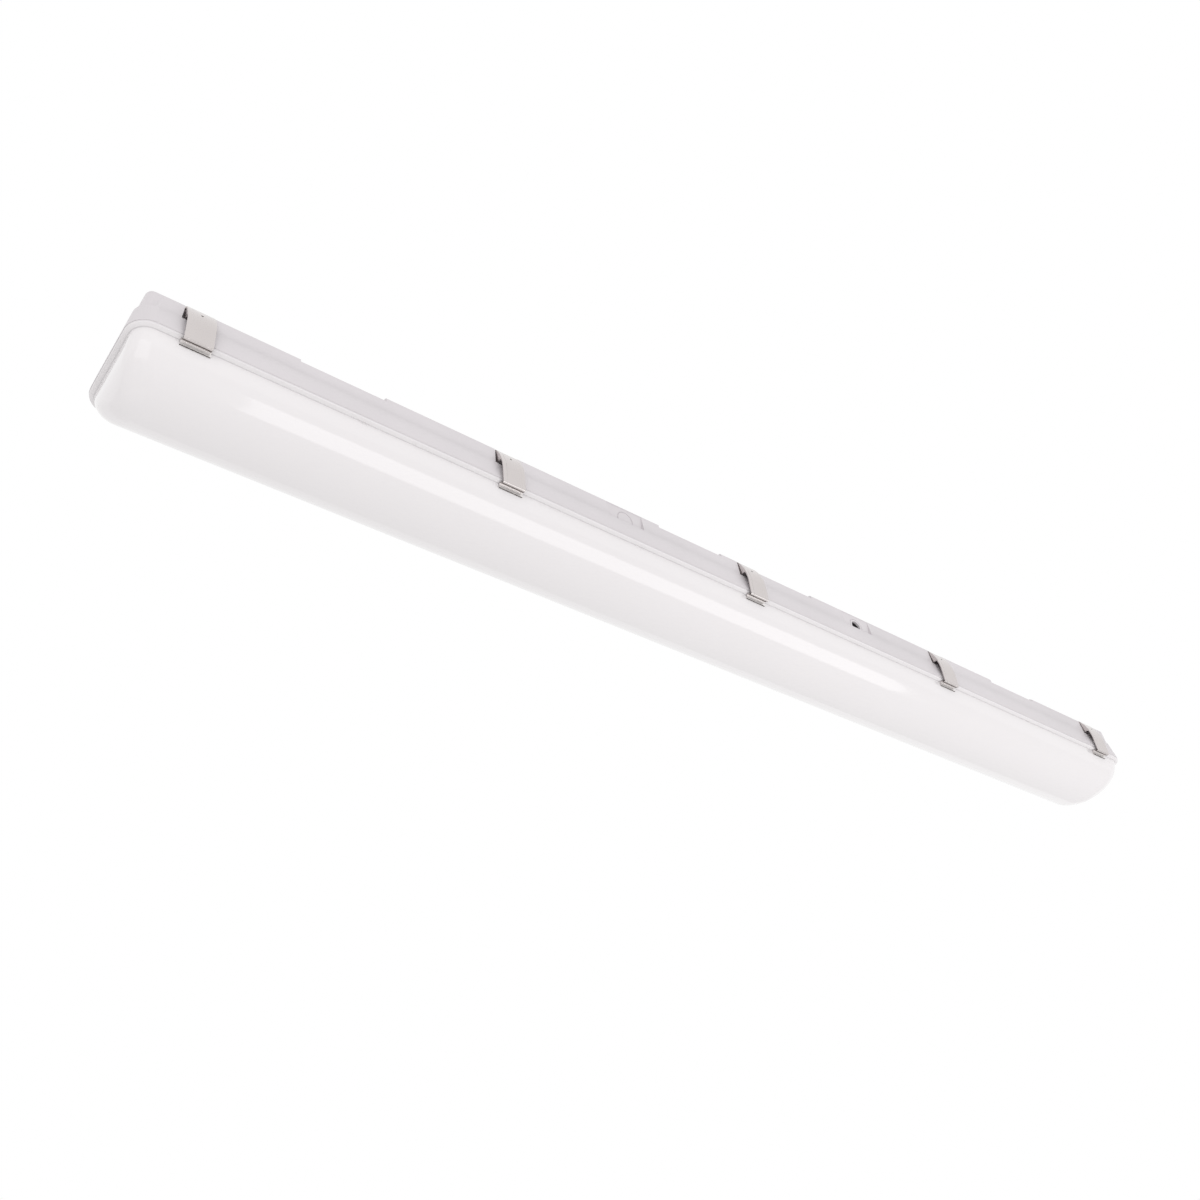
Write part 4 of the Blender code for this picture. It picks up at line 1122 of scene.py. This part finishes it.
def latch_finish():
    """Stainless sheet, brushed along the latch, with a pressed panel line near each edge."""
    material, tree, shader = new_material("stainless latch", latch_colour, latch_roughness, metallic=1.0)
    brushed = noise(tree, brush_scale, brush_detail, (1, 1, brush_stretch))
    roughness = (latch_roughness - latch_gloss_spread, latch_roughness + latch_gloss_spread)
    gloss = map_range(tree, brushed, *roughness)
    tree.links.new(gloss, shader.inputs["Roughness"])
    cloud = map_range(tree, noise(tree, cloud_scale), 0, 1)
    vary_colour(tree, shader, cloud, shaded(latch_colour, 1 - latch_spread), latch_colour)
    fine = add_bump(tree, shader, brushed, brush_height)
    place = tree.nodes.new("ShaderNodeTexCoord")
    split = tree.nodes.new("ShaderNodeSeparateXYZ")
    tree.links.new(place.outputs["Object"], split.inputs["Vector"])
    across = tree.nodes.new("ShaderNodeMath")
    across.operation = "ABSOLUTE"
    tree.links.new(split.outputs["X"], across.inputs[0])
    edge = tree.nodes.new("ShaderNodeMapRange")
    edge.interpolation_type = "SMOOTHSTEP"
    edge.inputs["From Min"].default_value = panel_edge
    edge.inputs["From Max"].default_value = panel_edge + panel_step
    tree.links.new(across.outputs["Value"], edge.inputs["Value"])
    panel = tree.nodes.new("ShaderNodeBump")
    panel.inputs["Distance"].default_value = panel_height
    tree.links.new(edge.outputs["Result"], panel.inputs["Height"])
    tree.links.new(panel.outputs["Normal"], fine.inputs["Normal"])
    return material


def board_finish():
    """White board face, with a yellow phosphor face on each LED, told by its height."""
    material, tree, shader = new_material("led board", board_colour, moulded_roughness)
    place = tree.nodes.new("ShaderNodeNewGeometry")
    split = tree.nodes.new("ShaderNodeSeparateXYZ")
    tree.links.new(place.outputs["Position"], split.inputs["Vector"])
    near = tree.nodes.new("ShaderNodeMath")
    near.operation = "COMPARE"
    near.inputs[1].default_value = led_face_z
    near.inputs[2].default_value = led_face_margin
    tree.links.new(split.outputs["Z"], near.inputs[0])
    vary_colour(tree, shader, near.outputs["Value"], board_colour, phosphor_colour)
    add_bump(tree, shader, noise(tree, fine_grain), fine_bump)
    return material


def inside_finishes():
    """Finish of each part that stays as it is in the frame, by node."""
    foam = (foam_colour, foam_roughness, foam_grain, foam_pits)
    paint = (paint_colour, paint_roughness, paint_grain, paint_peel)
    case = (case_colour, paint_roughness, paint_grain, paint_peel)
    ivory = (ivory_colour, moulded_roughness, fine_grain, fine_bump)
    finishes = {
        "gasket": plain_finish("foam gasket", *foam, spread=strong_spread),
        "gear_tray": plain_finish("white painted steel", *paint),
        "driver_cover": plain_finish("driver case", *case),
        "terminal_block": plain_finish("terminal plastic", *ivory),
    }
    for node, colour in wire_colours.items():
        finishes[node] = plain_finish(f"{node} jacket", colour, wire_roughness, fine_grain, fine_bump)
    return finishes


def dress_inside():
    plated = (zinc_colour, zinc_roughness, fine_grain, fine_bump)
    zinc = plain_finish("zinc plated steel", *plated, metallic=1.0, spread=strong_spread)
    board = board_finish()
    finishes = inside_finishes()
    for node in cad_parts:
        finish = finishes.get(node)
        if "screw" in node or node == "driver_base":
            finish = zinc
        elif node.startswith("led_board"):
            finish = board
        if finish:
            give_finishes(bpy.data.objects[node].data, finish)


# Studio


def make_world():
    """White all round for the camera and in reflections, and a softer white as light."""
    world = bpy.data.worlds.new("studio")
    bpy.context.scene.world = world
    world.use_nodes = True
    tree = world.node_tree
    background = tree.nodes["Background"]
    background.inputs["Color"].default_value = (1, 1, 1, 1)
    path = tree.nodes.new("ShaderNodeLightPath")
    seen = path.outputs["Is Camera Ray"]
    for other in ("Is Glossy Ray", "Is Transmission Ray"):
        either = tree.nodes.new("ShaderNodeMath")
        either.operation = "MAXIMUM"
        tree.links.new(seen, either.inputs[0])
        tree.links.new(path.outputs[other], either.inputs[1])
        seen = either.outputs["Value"]
    strength = tree.nodes.new("ShaderNodeMapRange")
    strength.inputs["To Min"].default_value = ambient_light
    strength.inputs["To Max"].default_value = 1
    tree.links.new(seen, strength.inputs["Value"])
    tree.links.new(strength.outputs["Result"], background.inputs["Strength"])


def make_lamp(name, place, target, length, width, brightness, in_reflections=False):
    """A soft box that looks from its place at a target, its long side along X."""
    lamp = bpy.data.lights.new(name, "AREA")
    lamp.shape = "RECTANGLE"
    lamp.size = length
    lamp.size_y = width
    lamp.energy = brightness * math.pi * length * width
    obj = bpy.data.objects.new(name, lamp)
    bpy.context.scene.collection.objects.link(obj)
    ahead = (Vector(target) - Vector(place)).normalized()
    along = Vector((1, 0, 0))
    along = (along - ahead * along.dot(ahead)).normalized()
    up = ahead.cross(along)
    turn = Matrix((along, -up, -ahead)).transposed()
    obj.matrix_world = Matrix.Translation(place) @ turn.to_4x4()
    obj.visible_camera = False
    obj.visible_glossy = in_reflections


def make_lamps():
    y = -math.cos(strip_angle) * strip_distance
    z = at_height(0) - math.sin(strip_angle) * strip_distance
    place = (strip_middle, y, z)
    target = (strip_middle, 0, at_height(0))
    make_lamp("strip_light", place, target, strip_length, strip_width, strip_brightness, True)
    make_lamp("top_light", top_place, (top_place[0], 0, 0), top_length, top_width, top_brightness)
    make_lamp("near_light", near_place, near_target, near_size, near_size, near_brightness, True)
    make_lamp("side_light", side_place, near_target, side_size, side_size, side_brightness)
    make_lamp("under_light", under_place, under_target, under_length, under_width, under_brightness)


def make_floor():
    shape = bmesh.new()
    half = floor_size / 2
    corners = ((-half, -half), (half, -half), (half, half), (-half, half))
    shape.faces.new([shape.verts.new((x, y, -floor_drop)) for x, y in corners])
    floor = add_object("studio_floor", finish_mesh("studio_floor", shape))
    material, tree, shader = new_material("pale floor", floor_colour, floor_roughness)
    drift = map_range(tree, noise(tree, floor_drift_scale), 0, 1)
    vary_colour(tree, shader, drift, shaded(floor_colour, 1 - floor_spread), floor_colour)
    give_finishes(floor.data, material)


def make_camera():
    camera = bpy.data.cameras.new("photo_camera")
    camera.lens = camera_lens
    camera.sensor_width = camera_film
    obj = bpy.data.objects.new("photo_camera", camera)
    bpy.context.scene.collection.objects.link(obj)
    ahead = Vector(
        (
            math.cos(camera_pitch) * math.cos(camera_yaw),
            math.cos(camera_pitch) * math.sin(camera_yaw),
            math.sin(camera_pitch),
        )
    )
    level_right = ahead.cross(Vector((0, 0, 1))).normalized()
    level_down = ahead.cross(level_right)
    right = level_right * math.cos(camera_roll) + level_down * math.sin(camera_roll)
    down = level_down * math.cos(camera_roll) - level_right * math.sin(camera_roll)
    turn = Matrix((right, -down, -ahead)).transposed()
    obj.matrix_world = Matrix.Translation(camera_place) @ turn.to_4x4()
    bpy.context.scene.camera = obj


def main():
    bpy.context.scene.view_settings.view_transform = "Standard"
    make_camera()
    make_world()
    make_lamps()
    make_floor()
    grain = (housing_grain, housing_grain_height)
    moulded = plain_finish("housing plastic", housing_colour, housing_roughness, *grain)
    make_housing(moulded)
    # The lens's edge and crease finishes are painted shade, darker copies of the frosted lens
    edge = lens_finish("lens edge painted shade", lens_edge_shade_colour)
    crease = lens_finish("lens crease painted shade", lens_crease_shade_colour)
    make_lens(lens_finish("frosted lens", lens_colour), edge, crease)
    # The fold finish is painted shade on the latch's stainless
    fold = plain_finish("latch fold painted shade", fold_shade_colour, fold_shade_roughness, housing_grain, fine_bump, fold_shade_metal)
    # The lip finish is a painted highlight on the latch's stainless
    lip = plain_finish("latch lip painted highlight", lip_highlight_colour, lip_highlight_roughness, housing_grain, fine_bump, lip_highlight_metal)
    make_latches(latch_finish(), fold, lip)
    dress_inside()


main()
